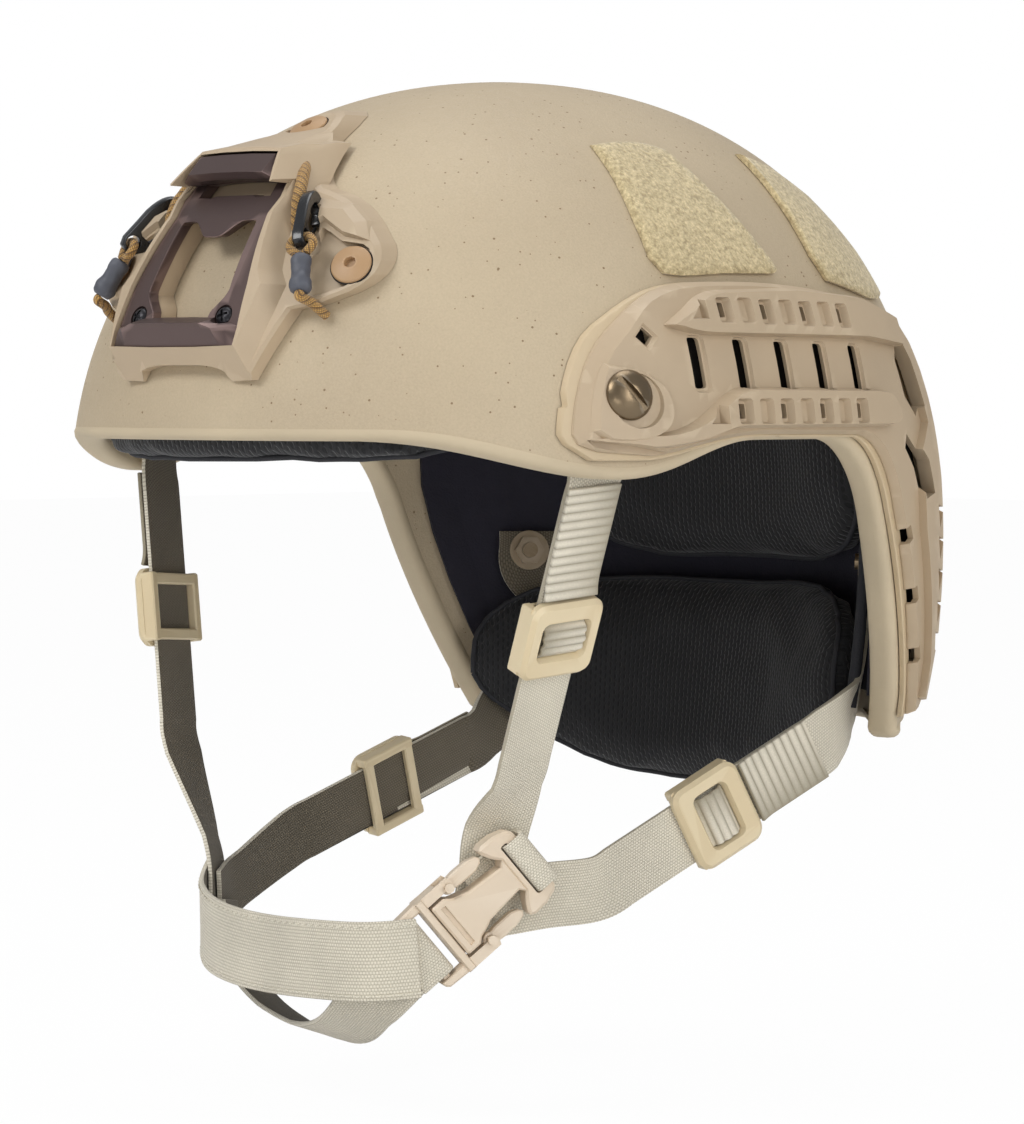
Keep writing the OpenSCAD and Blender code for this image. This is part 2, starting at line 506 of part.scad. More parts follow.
// the bed is a little larger all round than the insert
bed_line = [for (p = insert_line) [p[0] + 0.35 * sign(p[0]), p[1] + (p[1] > 80 ? 0.35 : p[1] < 30 ? -9 : 0)]];
insert_window = both([[1, 65.4], [16.4, 65], [17.6, 47], [17.2, 43], [13.6, 39], [12, 34.8], [1, 34.6]]);
v_tab = both([[0.1, 67], [10.6, 66.6], [9.5, 65.4], [7.4, 64.2], [3.6, 61], [1.8, 60.4], [0.1, 60.3]]);
lip_line = both([[6, 85.7], [16.8, 85.3], [21.2, 76.6], [6, 77.6]]);
bar_line = both([[6, 34.6], [15.5, 34.5], [25, 33], [27.1, 31], [27, 28.2], [10, 27.9]]);
slot_line = both([[4, 77], [15.4, 76.4], [16, 72.6], [4, 72.9]]);
module shroud_insert() color(metal) difference() {
  union() {
    difference() {
      intersection() {
        brow_slab(insert_low, insert_g, -32, 32, 26, 90, 8, 8);
        brow_prism(insert_line);
      }
      brow_prism(insert_window);
    }
    intersection() {
      brow_slab(insert_low, insert_g, -20, 20, 54, 74, 6, 4);
      brow_prism(v_tab);
    }
    // hooked top lip
    intersection() {
      brow_slab(insert_low, insert_g + 6.6, -24, 24, 72, 90, 6, 4);
      brow_prism(lip_line);
    }
    // bottom bar
    intersection() {
      brow_slab(insert_low, insert_g + 5.4, -32, 32, 26, 36, 8, 2);
      brow_prism(bar_line);
    }
  }
  front_slope();
  brow_prism(slot_line);
  for (s = [0, 1]) mirror([s, 0, 0]) on_brow(screw_at[0], screw_at[1]) {
    cylinder(d = 3.4, h = 60, $fn = 32);
    translate([0, 0, screw_face]) cylinder(d = 6.8, h = 12, $fn = 40);
  }
}
screw_face = insert_g - 0.5;
module insert_screws() color(black) for (s = [0, 1]) mirror([s, 0, 0])
  on_brow(screw_at[0], screw_at[1]) translate([0, 0, screw_face + 0.02]) {
    difference() {
      intersection() {
        cylinder(d = 6.2, h = 1.9, $fn = 40);
        translate([0, 0, -2.2]) sphere(d = 8.2, $fn = 40);
      }
      for (a = [0, 90]) rotate([0, 0, a + 20]) translate([0, 0, 2]) cube([4.2, 0.9, 1.8], center = true);
    }
    translate([0, 0, -6]) cylinder(d = 3, h = 6.1, $fn = 32);
  }
module cap_bolt(d, h, grip) {
  difference() {
    cylinder(d = d, h = h, $fn = 48);
    translate([0, 0, h - 1]) cylinder(d = 4, h = 2, $fn = 6);
  }
  translate([0, 0, -grip]) cylinder(d = shank_d, h = grip + 0.1, $fn = 40);
}
module shroud_bolts() color(rail_tan) {
  on_brow(0, shroud_top_z) translate([0, 0, disc_face + 0.02]) cap_bolt(disc_d, 1.9, disc_face + wall - 2);
  for (s = [0, 1]) mirror([s, 0, 0]) on_brow(shroud_side[0], shroud_side[1])
    translate([0, 0, disc_face + 0.02]) cap_bolt(disc_d, 1.9, disc_face + wall - 2);
}

// Bungee cords, ferrules and snap hooks
cord_d = 3;
ferrule_d = 6.4;
hook_n = brow_n(35, 66);
eye_p = brow_pt(38, 59.5, 10.4);
ferrule_end = brow_pt(44.8, 43.4, 10.2);
tail_in = brow_pt(47, 38.8, 5);
ferrule_dir = unit(eye_p - ferrule_end);
ferrule_top = eye_p - ferrule_dir * 6.4;
ferrule_l = norm(ferrule_top - ferrule_end);
tail_dir = unit([0.1, 0.8, -0.55]);
loop_side = unit(cross(ferrule_dir, hook_n));
function loop_pt(a, b) = ferrule_top + ferrule_dir * a + loop_side * b;
module cord_shape() {
  cord_body(smooth([loop_pt(0.4, 1.5), loop_pt(1, 1.6), loop_pt(3.4, 3.6), loop_pt(6, 2.7),
    loop_pt(6.5, 0), loop_pt(6, -2.7), loop_pt(3.4, -3.6), loop_pt(1, -1.6), loop_pt(0.4, -1.5)], 2),
    cord_d - 0.3, 8);
  cord_body(smooth([ferrule_end - ferrule_dir * 0.4, ferrule_end - ferrule_dir * 1.6,
    lerp(ferrule_end, tail_in, 0.65), tail_in, tail_in + tail_dir * 4], 2), cord_d, 8);
}
module ferrule_shape() frame_at(ferrule_end, ferrule_dir, hook_n) {
  cylinder(d = ferrule_d, h = ferrule_l, $fn = 40);
  translate([0, 0, 1]) cylinder(d = ferrule_d + 0.8, h = 3.2, $fn = 40);
}
module left_cord() color(cord_gold) cord_shape();
module right_cord() color(cord_gold) mirror([1, 0, 0]) cord_shape();
module left_ferrule() color(black) ferrule_shape();
module right_ferrule() color(black) mirror([1, 0, 0]) ferrule_shape();
// snap hook in the plane of the surface normal and the upward line
hook_w = 3.6;
hook_up = unit(brow_pt(30, 76, 10.4) - eye_p);
bar_y = 3.8;
bar_z = -4.6;
bar_d = 3.2;
gate_at = [-5.6, -4.2];
gate_d = 1.3;
gate_len = 8.2;
gate_lean = -31.4;
eye_d = 4.4;
module hook_frame() frame_at(eye_p + hook_up * 7.2 + hook_n * 1.2, hook_n, hook_up) children();
module in_hook_plane(w) rotate([90, 0, 90]) translate([0, 0, -w / 2]) linear_extrude(w) children();
module hook_shape() hook_frame() {
  difference() {
    in_hook_plane(hook_w) difference() {
      polygon(concat([[-10.8, -1.6], [-10, 1], [-7.6, 2], [-2, 1.9]],
        bez([1.5, 1.9], [7.6, 1.2], [9.6, -2.6], [8, -6.6], 6),
        bez([7.6, -7.8], [6.4, -9.6], [4.6, -9.9], [3.4, -9.6], 4),
        [[2.2, -9.4], [2.2, -8], [3, -7.7]],
        bez([4.4, -7.6], [6, -6.6], [6.2, -3.4], [3.4, -1.4], 5),
        [[1.6, -0.8], [-3, -0.9], [-3.8, -2], [-3.8, -4.6], [-4.6, -6], [-6.6, -6.2], [-8.6, -4.8],
          [-10.2, -3.6]]));
      translate([-7.2, -1.2]) circle(d = eye_d, $fn = 30);
    }
    translate([-gate_d / 2 - 0.4, -8, -9]) cube([gate_d + 0.8, 8, 9 - 3.4 + 1.9]);
  }
  translate([0, gate_at[0], gate_at[1]]) rotate([0, 90, 0])
    cylinder(d = 0.9, h = hook_w, center = true, $fn = 24);
}
module gate_shape() hook_frame() translate([0, gate_at[0], gate_at[1]]) {
  difference() {
    union() {
      rotate([0, 90, 0]) cylinder(d = 3, h = gate_d, center = true, $fn = 30);
      rotate([gate_lean - 90, 0, 0]) cylinder(d = gate_d, h = gate_len, $fn = 24);
    }
    rotate([0, 90, 0]) cylinder(d = 1.6, h = 4, center = true, $fn = 24);
  }
}
module left_hook() color(black) hook_shape();
module right_hook() color(black) mirror([1, 0, 0]) hook_shape();
module left_gate() color(metal) gate_shape();
module right_gate() color(metal) mirror([1, 0, 0]) gate_shape();

// Pads
pad_square = 3;
function pad_ring(t0, dt, z0, dz, r, g, n, egg) = [for (k = [0 : n - 1]) let (a = -360 * k / n,
    v = r * spow(sin(a), 2 / pad_square))
  dome_pt(t0 + dt * r * spow(cos(a), 2 / pad_square) * (1 + egg * min(0, v)), z0 + dz * v, g)];
module wall_pad(t0, dt, z0, dz, g, th, n = 28, egg = 0, back = 0) rings_body(concat(
  [pad_ring(t0, dt, z0, dz, 0.5, back - g, n, egg)],
  back > 0 ? [pad_ring(t0, dt, z0, dz, 0.62, -g, n, egg)] : [],
  [pad_ring(t0, dt, z0, dz, 0.95, -g, n, egg),
  pad_ring(t0, dt, z0, dz, 1, -g - th * 0.4, n, egg),
  pad_ring(t0, dt, z0, dz, 0.94, -g - th * 0.8, n, egg),
  pad_ring(t0, dt, z0, dz, 0.7, -g - th * 0.97, n, egg), pad_ring(t0, dt, z0, dz, 0.35, -g - th, n, egg)]),
  dome_pt(t0, z0, back - g), dome_pt(t0, z0, -g - th));
pad_g = wall + 0.7;
nape_g = wall + nape_lift + web_t + 2;
module front_pad() color(black) wall_pad(-90, 56, 17, 25, pad_g, pad_th, 32);
module left_side_pad() color(black) wall_pad(9, 23, 42, 21, pad_g, pad_th);
module right_side_pad() color(black) mirror([1, 0, 0]) wall_pad(9, 23, 42, 21, pad_g, pad_th);
module rear_pad() color(black) wall_pad(90, 38, -9, 34, wall + band_seat + band_g + 0.4, pad_th);
module nape_pad() color(black) wall_pad(90, 47, -82, 36, nape_g, nape_th, 32, 0.3,
  nape_g - wall - band_seat - band_g - 0.4);
function crown_ring(r, g, n) = [for (k = [0 : n - 1]) let (a = -360 * k / n,
    x = 47 * r * spow(cos(a), 0.8), y = 62 * r * spow(sin(a), 0.8)) [x, y, crown_z(x, y, g)]];
module crown_pad() color(black) rings_body([
  crown_ring(0.5, -pad_g, 28), crown_ring(0.96, -pad_g, 28), crown_ring(1, -pad_g - pad_th * 0.35, 28),
  crown_ring(0.95, -pad_g - pad_th * 0.7, 28), crown_ring(0.7, -pad_g - pad_th * 0.9, 28),
  crown_ring(0.35, -pad_g - pad_th * 0.98, 28)],
  [0, 0, crown_z(0, 0, -pad_g)], [0, 0, crown_z(0, 0, -pad_g - pad_th)]);
// thin polymer plate behind the rear pads, its ends set back from the ear cut
function band_pt(v, u, g) = let (f = 2 * u - 1, z = lerp(-82, 4 + 10 * f * f, v),
    reach = 66 - 14 * pow(max(0, -z - 10) / 74, 1.5))
  dome_pt(90 - reach * -f, z, g);
module nape_band() color(black) difference() {
  rows = 6;
  cols = 22;
  plate_body(
    [for (i = [0 : rows]) [for (j = [0 : cols]) band_pt(i / rows, j / cols, -wall - band_seat)]],
    [for (i = [0 : rows]) [for (j = [0 : cols])
      band_pt(i / rows, j / cols, -wall - band_seat - band_g)]]);
  for (s = [0, 1]) mirror([s, 0, 0])
    on_side(nape_bolt[0], nape_bolt[1]) cylinder(d = bolt_bore, h = 60, center = true, $fn = 40);
}

// Harness
buckle_o = [42, -68, -150];
buckle_turn = 60;
buckle_tilt = 40;
axis_a = [cos(buckle_tilt) * cos(buckle_turn), cos(buckle_tilt) * sin(buckle_turn), sin(buckle_tilt)];
axis_n = [sin(buckle_turn), -cos(buckle_turn), 0];
axis_w = cross(axis_n, axis_a);
function in_buckle(x, y, z) = buckle_o + axis_a * x + axis_w * y + axis_n * z;
module buckle_frame() translate(buckle_o) rotate([0, 0, buckle_turn]) rotate([0, -buckle_tilt, 0])
  rotate([90, 0, 0]) children();
right_join = [-71, -58, -146];
right_out = unit([-0.8, -0.6, 0]);
right_along = cross(right_out, [0, 0, 1]);
function in_join(a, b, n) = right_join + right_along * a + [0, 0, b] + right_out * n;
// straight runs the sliders travel on, and the outward normal of each
lf_run = [[half_w - 24, -58.5, -19], [58.5, -48.8, -97]];
lr_run = [[half_w - 38, 55, -99], [58.5, -8, -135]];
rf_run = [[23.4 - half_w, -60.5, -19], [-85, -62, -91]];
rr_run = [[41 - half_w, 60, -105], [-80, -10, -129]];
function run_dir(r) = unit(r[1] - r[0]);
function run_n(r, n) = let (d = run_dir(r)) unit(n - d * (n * d));
lf_n = run_n(lf_run, [1, -0.08, 0]);
lr_n = run_n(lr_run, [1, -0.05, 0.1]);
rf_n = run_n(rf_run, [-1, -0.3, 0]);
rr_n = run_n(rr_run, [-1, 0, 0.12]);
// the webbing starts on the wall above its bolt and follows the wall to the edge
function wall_pts(list, s, g) = [for (p = list) let (q = side_pt(p[0], p[1], g)) [s * q[0], q[1], q[2]]];
function wall_ns(list, s, g) = [for (p = list) let (q = side_n(p[0], p[1], g)) [s * q[0], q[1], q[2]]];
// points on the axis of a bolt hole, with ups as steps up or down the wall
function hole_pts(b, ups, h, s) = let (n = side_n(b[0], b[1]), v = unit([0, 0, 1] - n * n[2]))
  [for (a = ups) let (p = side_pt(b[0], b[1], 0) + n * h + v * a) [s * p[0], p[1], p[2]]];
front_ups = [9, 0, -12];
rear_ups = [6.5, 0, -7];
rear_spots = [[half_l * 0.717, -58], [half_l * 0.68, -72], [half_l * 0.618, -86]];
front_rise = -wall - strap_lift - web_t / 2;
rear_rise = -wall - nape_lift - web_t / 2;
function lead(r, f) = r[0] - run_dir(r) * f;
function trail(r, f) = r[1] + run_dir(r) * f;
function front_in(s, r) = smooth(concat(hole_pts(rail_bolt, front_ups, front_rise, s),
  [lead(r, 6), r[0]]), 2);
function rear_in(s, r) = smooth(concat(hole_pts(nape_bolt, rear_ups, rear_rise, s),
  wall_pts(rear_spots, s, rear_rise), [lead(r, 7), r[0]]), 2);
function front_ns(s, n) = concat(wall_ns([rail_bolt, rail_bolt, rail_bolt], s, 0), [n, n]);
function rear_ns(s, n) = concat(wall_ns([nape_bolt, nape_bolt, nape_bolt], s, 0),
  wall_ns(rear_spots, s, rear_rise), [n, n]);
lf_in = front_in(1, lf_run);
lf_out = smooth([lf_run[1], trail(lf_run, 8), in_buckle(34, 11, -8.6), in_buckle(27, 4, -8.15),
  in_buckle(20, -2, -8.15), in_buckle(13, -8, -8.15)], 3);
lr_in = rear_in(1, lr_run);
lr_out = smooth([lr_run[1], trail(lr_run, 8), in_buckle(36, -16, -10.2), in_buckle(28, -11, -9.95),
  in_buckle(20, -6, -9.95), in_buckle(12, -1, -9.95)], 3);
rf_in = front_in(-1, rf_run);
rf_out = smooth([rf_run[1], trail(rf_run, 8), in_join(0, 16, 1), in_join(0, 4, 0.1),
  in_join(0, -7, 0)], 3);
rr_in = rear_in(-1, rr_run);
rr_out = smooth([rr_run[1], trail(rr_run, 8), in_join(14, 2.5, -4), in_join(4, 0, -2.5),
  in_join(-6, -2, -2.2)], 3);
module strap_holes(s) {
  mirror([s, 0, 0]) on_side(rail_bolt[0], rail_bolt[1])
    cylinder(d = bolt_bore, h = 60, center = true, $fn = 40);
  mirror([s, 0, 0]) on_side(nape_bolt[0], nape_bolt[1])
    cylinder(d = bolt_bore, h = 60, center = true, $fn = 40);
}
lf_path = concat(lf_in, lf_out);
lr_path = concat(lr_in, lr_out);
rf_path = concat(rf_in, rf_out);
rr_path = concat(rr_in, rr_out);
lf_norms = concat(spread(front_ns(1, lf_n), len(lf_in)),
  spread([lf_n, lf_n, axis_n, axis_n, axis_n, axis_n], len(lf_out)));
lr_norms = concat(spread(rear_ns(1, lr_n), len(lr_in)),
  spread([lr_n, lr_n, axis_n, axis_n, axis_n, axis_n], len(lr_out)));
rf_norms = concat(spread(front_ns(-1, rf_n), len(rf_in)),
  spread([rf_n, rf_n, right_out, right_out, right_out], len(rf_out)));
rr_norms = concat(spread(rear_ns(-1, rr_n), len(rr_in)),
  spread([rr_n, rr_n, right_out, right_out, right_out], len(rr_out)));
module left_front_strap() color(webbing) difference() {
  ribbon(lf_path, lf_norms, web_w, web_t);
  strap_holes(0);
}
module left_rear_strap() color(webbing) difference() {
  ribbon(lr_path, lr_norms, web_w, web_t);
  strap_holes(0);
}
module right_front_strap() color(webbing) difference() {
  ribbon(rf_path, rf_norms, web_w, web_t);
  strap_holes(1);
}
module right_rear_strap() color(webbing) difference() {
  ribbon(rr_path, rr_norms, web_w, web_t);
  strap_holes(1);
}
// slider: x runs along the webbing, y across it, z outward from its middle
slider_w = web_w + 8;
channel_w = web_w + 2 * slider_gap;
channel_h = web_t + 2 * slider_gap;
face_t = 3;
window_l = 11.5;
window_w = 17.5;
module on_run(r, n, f = 0.5) frame_at(lerp(r[0], r[1], f), n, cross(n, run_dir(r))) children();
module round_block(l, w, h, r) linear_extrude(h) {
  square([l, w - 2 * r], center = true);
  square([l - 2 * r, w], center = true);
  for (a = [-1, 1]) for (b = [-1, 1]) translate([a * (l / 2 - r), b * (w / 2 - r)])
    circle(r = r, $fn = 32);
}
module slider_shape() difference() {
  union() {
    translate([0, 0, channel_h / 2]) round_block(slider_l, slider_w, face_t, 4);
    intersection() {
      translate([0, 0, -channel_h / 2 - 1.8]) round_block(slider_l, slider_w, channel_h + 2, 4);
      union() {
        for (b = [-1, 1]) translate([0, b * (channel_w / 2 + 5), 0]) cube([slider_l, 10, 20], center = true);
        for (a = [-1, 1]) translate([a * (slider_l / 2 - 3.6), 0, -channel_h / 2 - 3])
          cube([3.6, slider_w, 6], center = true);
      }
    }
  }
  translate([0, 0, channel_h / 2 - 1]) round_block(window_l, window_w, face_t + 3, 1.5);
}
bight_rise = 2.5;
module bight_shape() {
  n = 8;
  plate_body(
    [for (i = [0 : n]) let (f = 2 * i / n - 1) [for (y = [-1, 1])
      [f * (window_l / 2 - 0.1), y * (window_w / 2 - 0.9), channel_h / 2 + 0.9 + bight_rise * (1 - f * f)]]],
    [for (i = [0 : n]) let (f = 2 * i / n - 1) [for (y = [-1, 1])
      [f * (window_l / 2 - 0.1), y * (window_w / 2 - 0.9),
        channel_h / 2 + bight_rise * 0.75 * (1 - f * f)]]]);
}
module left_front_slider() color(cream) on_run(lf_run, lf_n) slider_shape();
module left_rear_slider() color(cream) on_run(lr_run, lr_n) slider_shape();
module right_front_slider() color(cream) on_run(rf_run, rf_n) slider_shape();
module right_rear_slider() color(cream) on_run(rr_run, rr_n) slider_shape();
module left_front_bight() color(webbing) on_run(lf_run, lf_n) bight_shape();
module left_rear_bight() color(webbing) on_run(lr_run, lr_n) bight_shape();
module right_front_bight() color(webbing) on_run(rf_run, rf_n) bight_shape();
module right_rear_bight() color(webbing) on_run(rr_run, rr_n) bight_shape();

// Side-release buckle: x from plug to socket, y across, z outward
collar_w = 18.2;
spine_w = 9;
pin_x = 11;
pin_y = buckle_w / 2 - 3;
pin_d = 2.2;
module buckle_block(pts, h) translate([0, 0, -h / 2]) linear_extrude(h) polygon(pts);
function mirror_y(pts) = concat(pts, [for (i = [len(pts) - 1 : -1 : 0]) [pts[i][0], -pts[i][1]]]);
module buckle_socket() color(cream) buckle_frame() difference() {
  union() {
    buckle_block(mirror_y([[2.7, collar_w / 2 - 0.6], [3.3, collar_w / 2], [7.6, collar_w / 2],
      [9.4, 7.6], [12, 7], [16, spine_w / 2], [27, spine_w / 2], [29, 6.5]]), 8);
    buckle_block(mirror_y([[28.5, 6], [26.4, 8.6], [25, 11.4], [25, 12.8], [26.5, 13.6],
      [31, 13.4], [35.4, 12], [36.6, 10.6], [37, 8]]), 8);
  }
  translate([32, 0, 0]) cube([2.6, 18.6, 20], center = true);
  // well for the plug's guide tongue
  translate([2, 0, 0]) cube([28, spine_w - 3.4, 3.6], center = true);
}
tab_t = 1.3;
module loop_web(path, w) {
  m = len(path) - 1;
  ribbon([for (p = path) [p[0], 0, p[1]]], [for (i = [0 : m]) let (
      d = unit(path[min(i + 1, m)] - path[max(i - 1, 0)])) [-d[1], 0, d[0]]], w, tab_t);
}
module socket_tab() color(webbing) buckle_frame() loop_web([[17, -4.9], [24, -4.9], [30.4, -4.9],
  [31.4, -4.5], [31.9, -3.6], [32, -1], [32, 3.4], [32.3, 4.6], [33.2, 5.2], [36.4, 5.2],
  [37.8, 4.7], [38.5, 3.4], [38.6, 0], [38.5, -4], [37.7, -5.7], [36, -6.5], [30, -6.5], [24, -6.5],
  [17, -6.5]], 17.6);
module buckle_plug() color(cream) buckle_frame() difference() {
  union() {
    translate([1, 0, 0]) cube([2.6, buckle_w, 8], center = true);
    for (s = [-1, 1]) scale([1, s, 1]) {
      buckle_block([[-9, 10.6], [-8, buckle_w / 2 - 0.6], [0, buckle_w / 2], [pin_x - 3, buckle_w / 2],
        [pin_x - 2.6, buckle_w / 2 - 0.6], [pin_x - 2.6, buckle_w / 2 - 2.8], [0, 10.4]], 5.6);
      for (z = [-1, 1]) translate([0, 0, z * 2.75]) buckle_block([[2, 10.1], [2, buckle_w / 2],
        [pin_x + 1.4, buckle_w / 2], [pin_x + 2.2, buckle_w / 2 - 2], [pin_x + 1.4, 10.1]], 0.9);
      translate([pin_x, pin_y, 0]) cylinder(d = pin_d, h = 6, center = true, $fn = 32);
    }
    translate([-6.4, 0, 0]) cube([2.6, 22.4, 2.4], center = true);
    translate([8, 0, 0]) cube([14, spine_w - 4.4, 2.6], center = true);
  }
}
prong_h = 3.9;
module prong_shape() difference() {
  union() {
    buckle_block([[pin_x, 9], [pin_x + 4, 8.4], [21, 8.4], [23.4, 9.4], [24.2, 10.6], [23.4, 11.8],
      [20, 12.8], [pin_x + 4, 12.9], [pin_x, 12.4]], prong_h);
    translate([pin_x, pin_y, 0]) cylinder(d = pin_d + 2.2, h = prong_h, center = true, $fn = 32);
  }
  translate([pin_x, pin_y, 0]) cylinder(d = pin_d + 0.7, h = 10, center = true, $fn = 32);
}
module upper_prong() color(cream) buckle_frame() prong_shape();
module lower_prong() color(cream) buckle_frame() mirror([0, 1, 0]) prong_shape();
module plug_tab() color(webbing) buckle_frame() loop_web(concat(
  [[-15, 2.1], [-8.6, 2.1]], bez([-6.4, 2.1], [-2.4, 2.9], [-2.4, -2.9], [-6.4, -2.1], 6),
  [[-8.6, -2.1], [-15, -2.1]]), 19);

// Chin webbing
tab_face = 2.1 + tab_t / 2 + 0.15 + web_t / 2;
chin_path = smooth([in_join(7, 2, 1.9), in_join(-2, -1, 1.9), [-62, -73, -151.5], [-42, -86, -155.5],
  [-14, -91.5, -157.5], [12, -93, -157], [30, -92, -156.6], in_buckle(-17, 6, tab_face),
  in_buckle(-9.6, 0.6, tab_face)], 3);
chin_norms = spread([right_out, right_out, [-0.72, -0.69, 0], [-0.35, -0.94, 0], [0, -1, 0],
  [0.1, -1, 0], [0.5, -0.87, 0], axis_n, axis_n], len(chin_path));
sling_path = smooth([in_join(-1, -2, -4.4), in_join(-3, -13, -5.4), [-55, -60, -172], [-36, -62, -181],
  [-12, -68, -184], [10, -77, -181], in_buckle(-30, -2, -tab_face - 2.4), in_buckle(-19, -1, -tab_face),
  in_buckle(-9.6, 0, -tab_face)], 3);
sling_norms = spread([right_out, right_out, [-0.6, -0.35, -0.7], [-0.3, -0.3, -0.9],
  [0.05, -0.35, -0.93], [0.4, -0.5, -0.75], axis_n, axis_n, axis_n], len(sling_path));
module chin_strap() color(webbing) ribbon(chin_path, chin_norms, chin_w, web_t);
module chin_sling() color(webbing) ribbon(sling_path, sling_norms, web_w, web_t);

shell();
edge_trim();
shroud_base();
shroud_insert();
insert_screws();
shroud_bolts();
left_cord();
right_cord();
left_ferrule();
right_ferrule();
left_hook();
right_hook();
left_gate();
right_gate();
left_rail();
right_rail();
left_backing();
right_backing();
rail_bolts();
rail_nuts();
nape_bolts();
nape_nuts();
left_front_patch();
left_rear_patch();
right_front_patch();
right_rear_patch();
front_pad();
crown_pad();
left_side_pad();
right_side_pad();
rear_pad();
nape_pad();
nape_band();
left_front_strap();
left_rear_strap();
right_front_strap();
right_rear_strap();
left_front_slider();
left_rear_slider();
right_front_slider();
right_rear_slider();
left_front_bight();
left_rear_bight();
right_front_bight();
right_rear_bight();
buckle_socket();
socket_tab();
buckle_plug();
upper_prong();
lower_prong();
plug_tab();
chin_strap();
chin_sling();
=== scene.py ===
# %% [markdown]
# # A protective helmet, dressed for the camera
# The solid model gives every part its true size and place. This notebook loads it, keeps the small
# metal and plastic parts that are already right, and makes the parts that the eye reads first: the
# smooth shell, the moulded rails, the front mount, the pads and the woven straps.

# %% Load the frame
import bpy, bmesh, math
from mathutils import Vector, Matrix, noise


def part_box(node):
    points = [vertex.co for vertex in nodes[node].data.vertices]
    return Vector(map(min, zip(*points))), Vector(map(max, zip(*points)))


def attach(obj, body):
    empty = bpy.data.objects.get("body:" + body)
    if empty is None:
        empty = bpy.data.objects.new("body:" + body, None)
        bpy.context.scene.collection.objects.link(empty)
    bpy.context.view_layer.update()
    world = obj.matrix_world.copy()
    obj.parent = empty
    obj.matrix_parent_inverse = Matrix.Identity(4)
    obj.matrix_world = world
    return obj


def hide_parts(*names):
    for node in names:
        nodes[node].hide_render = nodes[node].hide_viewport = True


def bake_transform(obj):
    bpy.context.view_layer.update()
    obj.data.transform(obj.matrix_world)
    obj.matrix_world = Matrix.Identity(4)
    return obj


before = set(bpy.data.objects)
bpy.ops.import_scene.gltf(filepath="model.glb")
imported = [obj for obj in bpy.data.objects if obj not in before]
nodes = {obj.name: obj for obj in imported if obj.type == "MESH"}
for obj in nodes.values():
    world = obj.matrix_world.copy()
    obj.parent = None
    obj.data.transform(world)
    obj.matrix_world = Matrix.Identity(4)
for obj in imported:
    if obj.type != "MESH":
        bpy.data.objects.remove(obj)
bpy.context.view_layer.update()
MM = 0.001

# %% [markdown]
# ## Camera
# The picture was taken with a long lens from about a metre and a half, 45 degrees to the wearer's
# left and just above brim level. A long lens keeps the near rail and the far cheek in proportion.

# %% Camera
def aim(obj, place, target):
    obj.location = place
    obj.rotation_mode = "QUATERNION"
    obj.rotation_quaternion = (Vector(target) - Vector(place)).to_track_quat("-Z", "Y")


azimuth, elevation, distance = math.radians(45), math.radians(2.16), 1.5
target = Vector((0.003387, 0.001087, -0.0397))
back = Vector((math.sin(azimuth) * math.cos(elevation), -math.cos(azimuth) * math.cos(elevation),
               math.sin(elevation)))
bpy.ops.object.camera_add()
camera = bpy.context.object
camera.name = "view_camera"
camera.data.lens, camera.data.sensor_width = 151.69, 36
camera.data.clip_start, camera.data.clip_end = 0.05, 20
aim(camera, target + back * distance, target)
bpy.context.scene.camera = camera
print("camera at", [round(c, 4) for c in camera.location])

# %% [markdown]
# ## Studio
# A pale floor a little below the chin strap carries a soft shadow. To the camera the floor and the
# world are white. As sources of light they are weaker than that, so that the four lamps shape the
# helmet and colours come out about as they are written.

# %% Node helpers
def new_material(name):
    mat = bpy.data.materials.new(name)
    mat.use_nodes = True
    mat.node_tree.nodes.clear()
    return mat, mat.node_tree


def add(tree, kind, inputs=None, **settings):
    """A node with its settings; an input is a plain value or another node's output."""
    n = tree.nodes.new(kind)
    for key, value in settings.items():
        setattr(n, key, value)
    for key, value in (inputs or {}).items():
        if isinstance(value, bpy.types.NodeSocket):
            tree.links.new(value, n.inputs[key])
        else:
            n.inputs[key].default_value = value
    return n


def object_place(tree):
    return add(tree, "ShaderNodeTexCoord").outputs["Object"]


def noise_at(tree, where, scale, detail, roughness=0.5):
    inputs = {"Vector": where, "Scale": scale, "Detail": detail, "Roughness": roughness}
    return add(tree, "ShaderNodeTexNoise", inputs).outputs[0]


def maths(tree, kind, a, b=0.0):
    return add(tree, "ShaderNodeMath", {0: a, 1: b}, operation=kind).outputs[0]


def carried(tree, value, low, high, start=0, end=1):
    """A value between start and end, carried over to the range from low to high."""
    inputs = {"Value": value, "From Min": start, "From Max": end, "To Min": low, "To Max": high}
    return add(tree, "ShaderNodeMapRange", inputs).outputs[0]


def mixed_color(tree, factor, a, b):
    return add(tree, "ShaderNodeMix", {"Factor": factor, "A": a, "B": b}, data_type="RGBA").outputs[2]


def scaled(tree, color, by):
    return add(tree, "ShaderNodeVectorMath", {0: color, "Scale": by}, operation="SCALE").outputs[0]


def ramp(tree, value, *stops):
    """A colour that runs between two stops, each a place and a colour."""
    node = add(tree, "ShaderNodeValToRGB", {"Fac": value})
    for element, (place, color) in zip(node.color_ramp.elements, stops):
        element.position, element.color = place, color
    return node.outputs[0]


def surface(mat, color, rough, height, strength, depth, more=None):
    """Ends a material: the height feeds a bump, and more holds further inputs of the shader."""
    tree = mat.node_tree
    bump = add(tree, "ShaderNodeBump", {"Height": height, "Strength": strength, "Distance": depth})
    inputs = {"Base Color": color, "Roughness": rough, "Normal": bump.outputs[0]}
    shader = add(tree, "ShaderNodeBsdfPrincipled", {**inputs, **(more or {})})
    add(tree, "ShaderNodeOutputMaterial", {"Surface": shader.outputs[0]})
    return mat


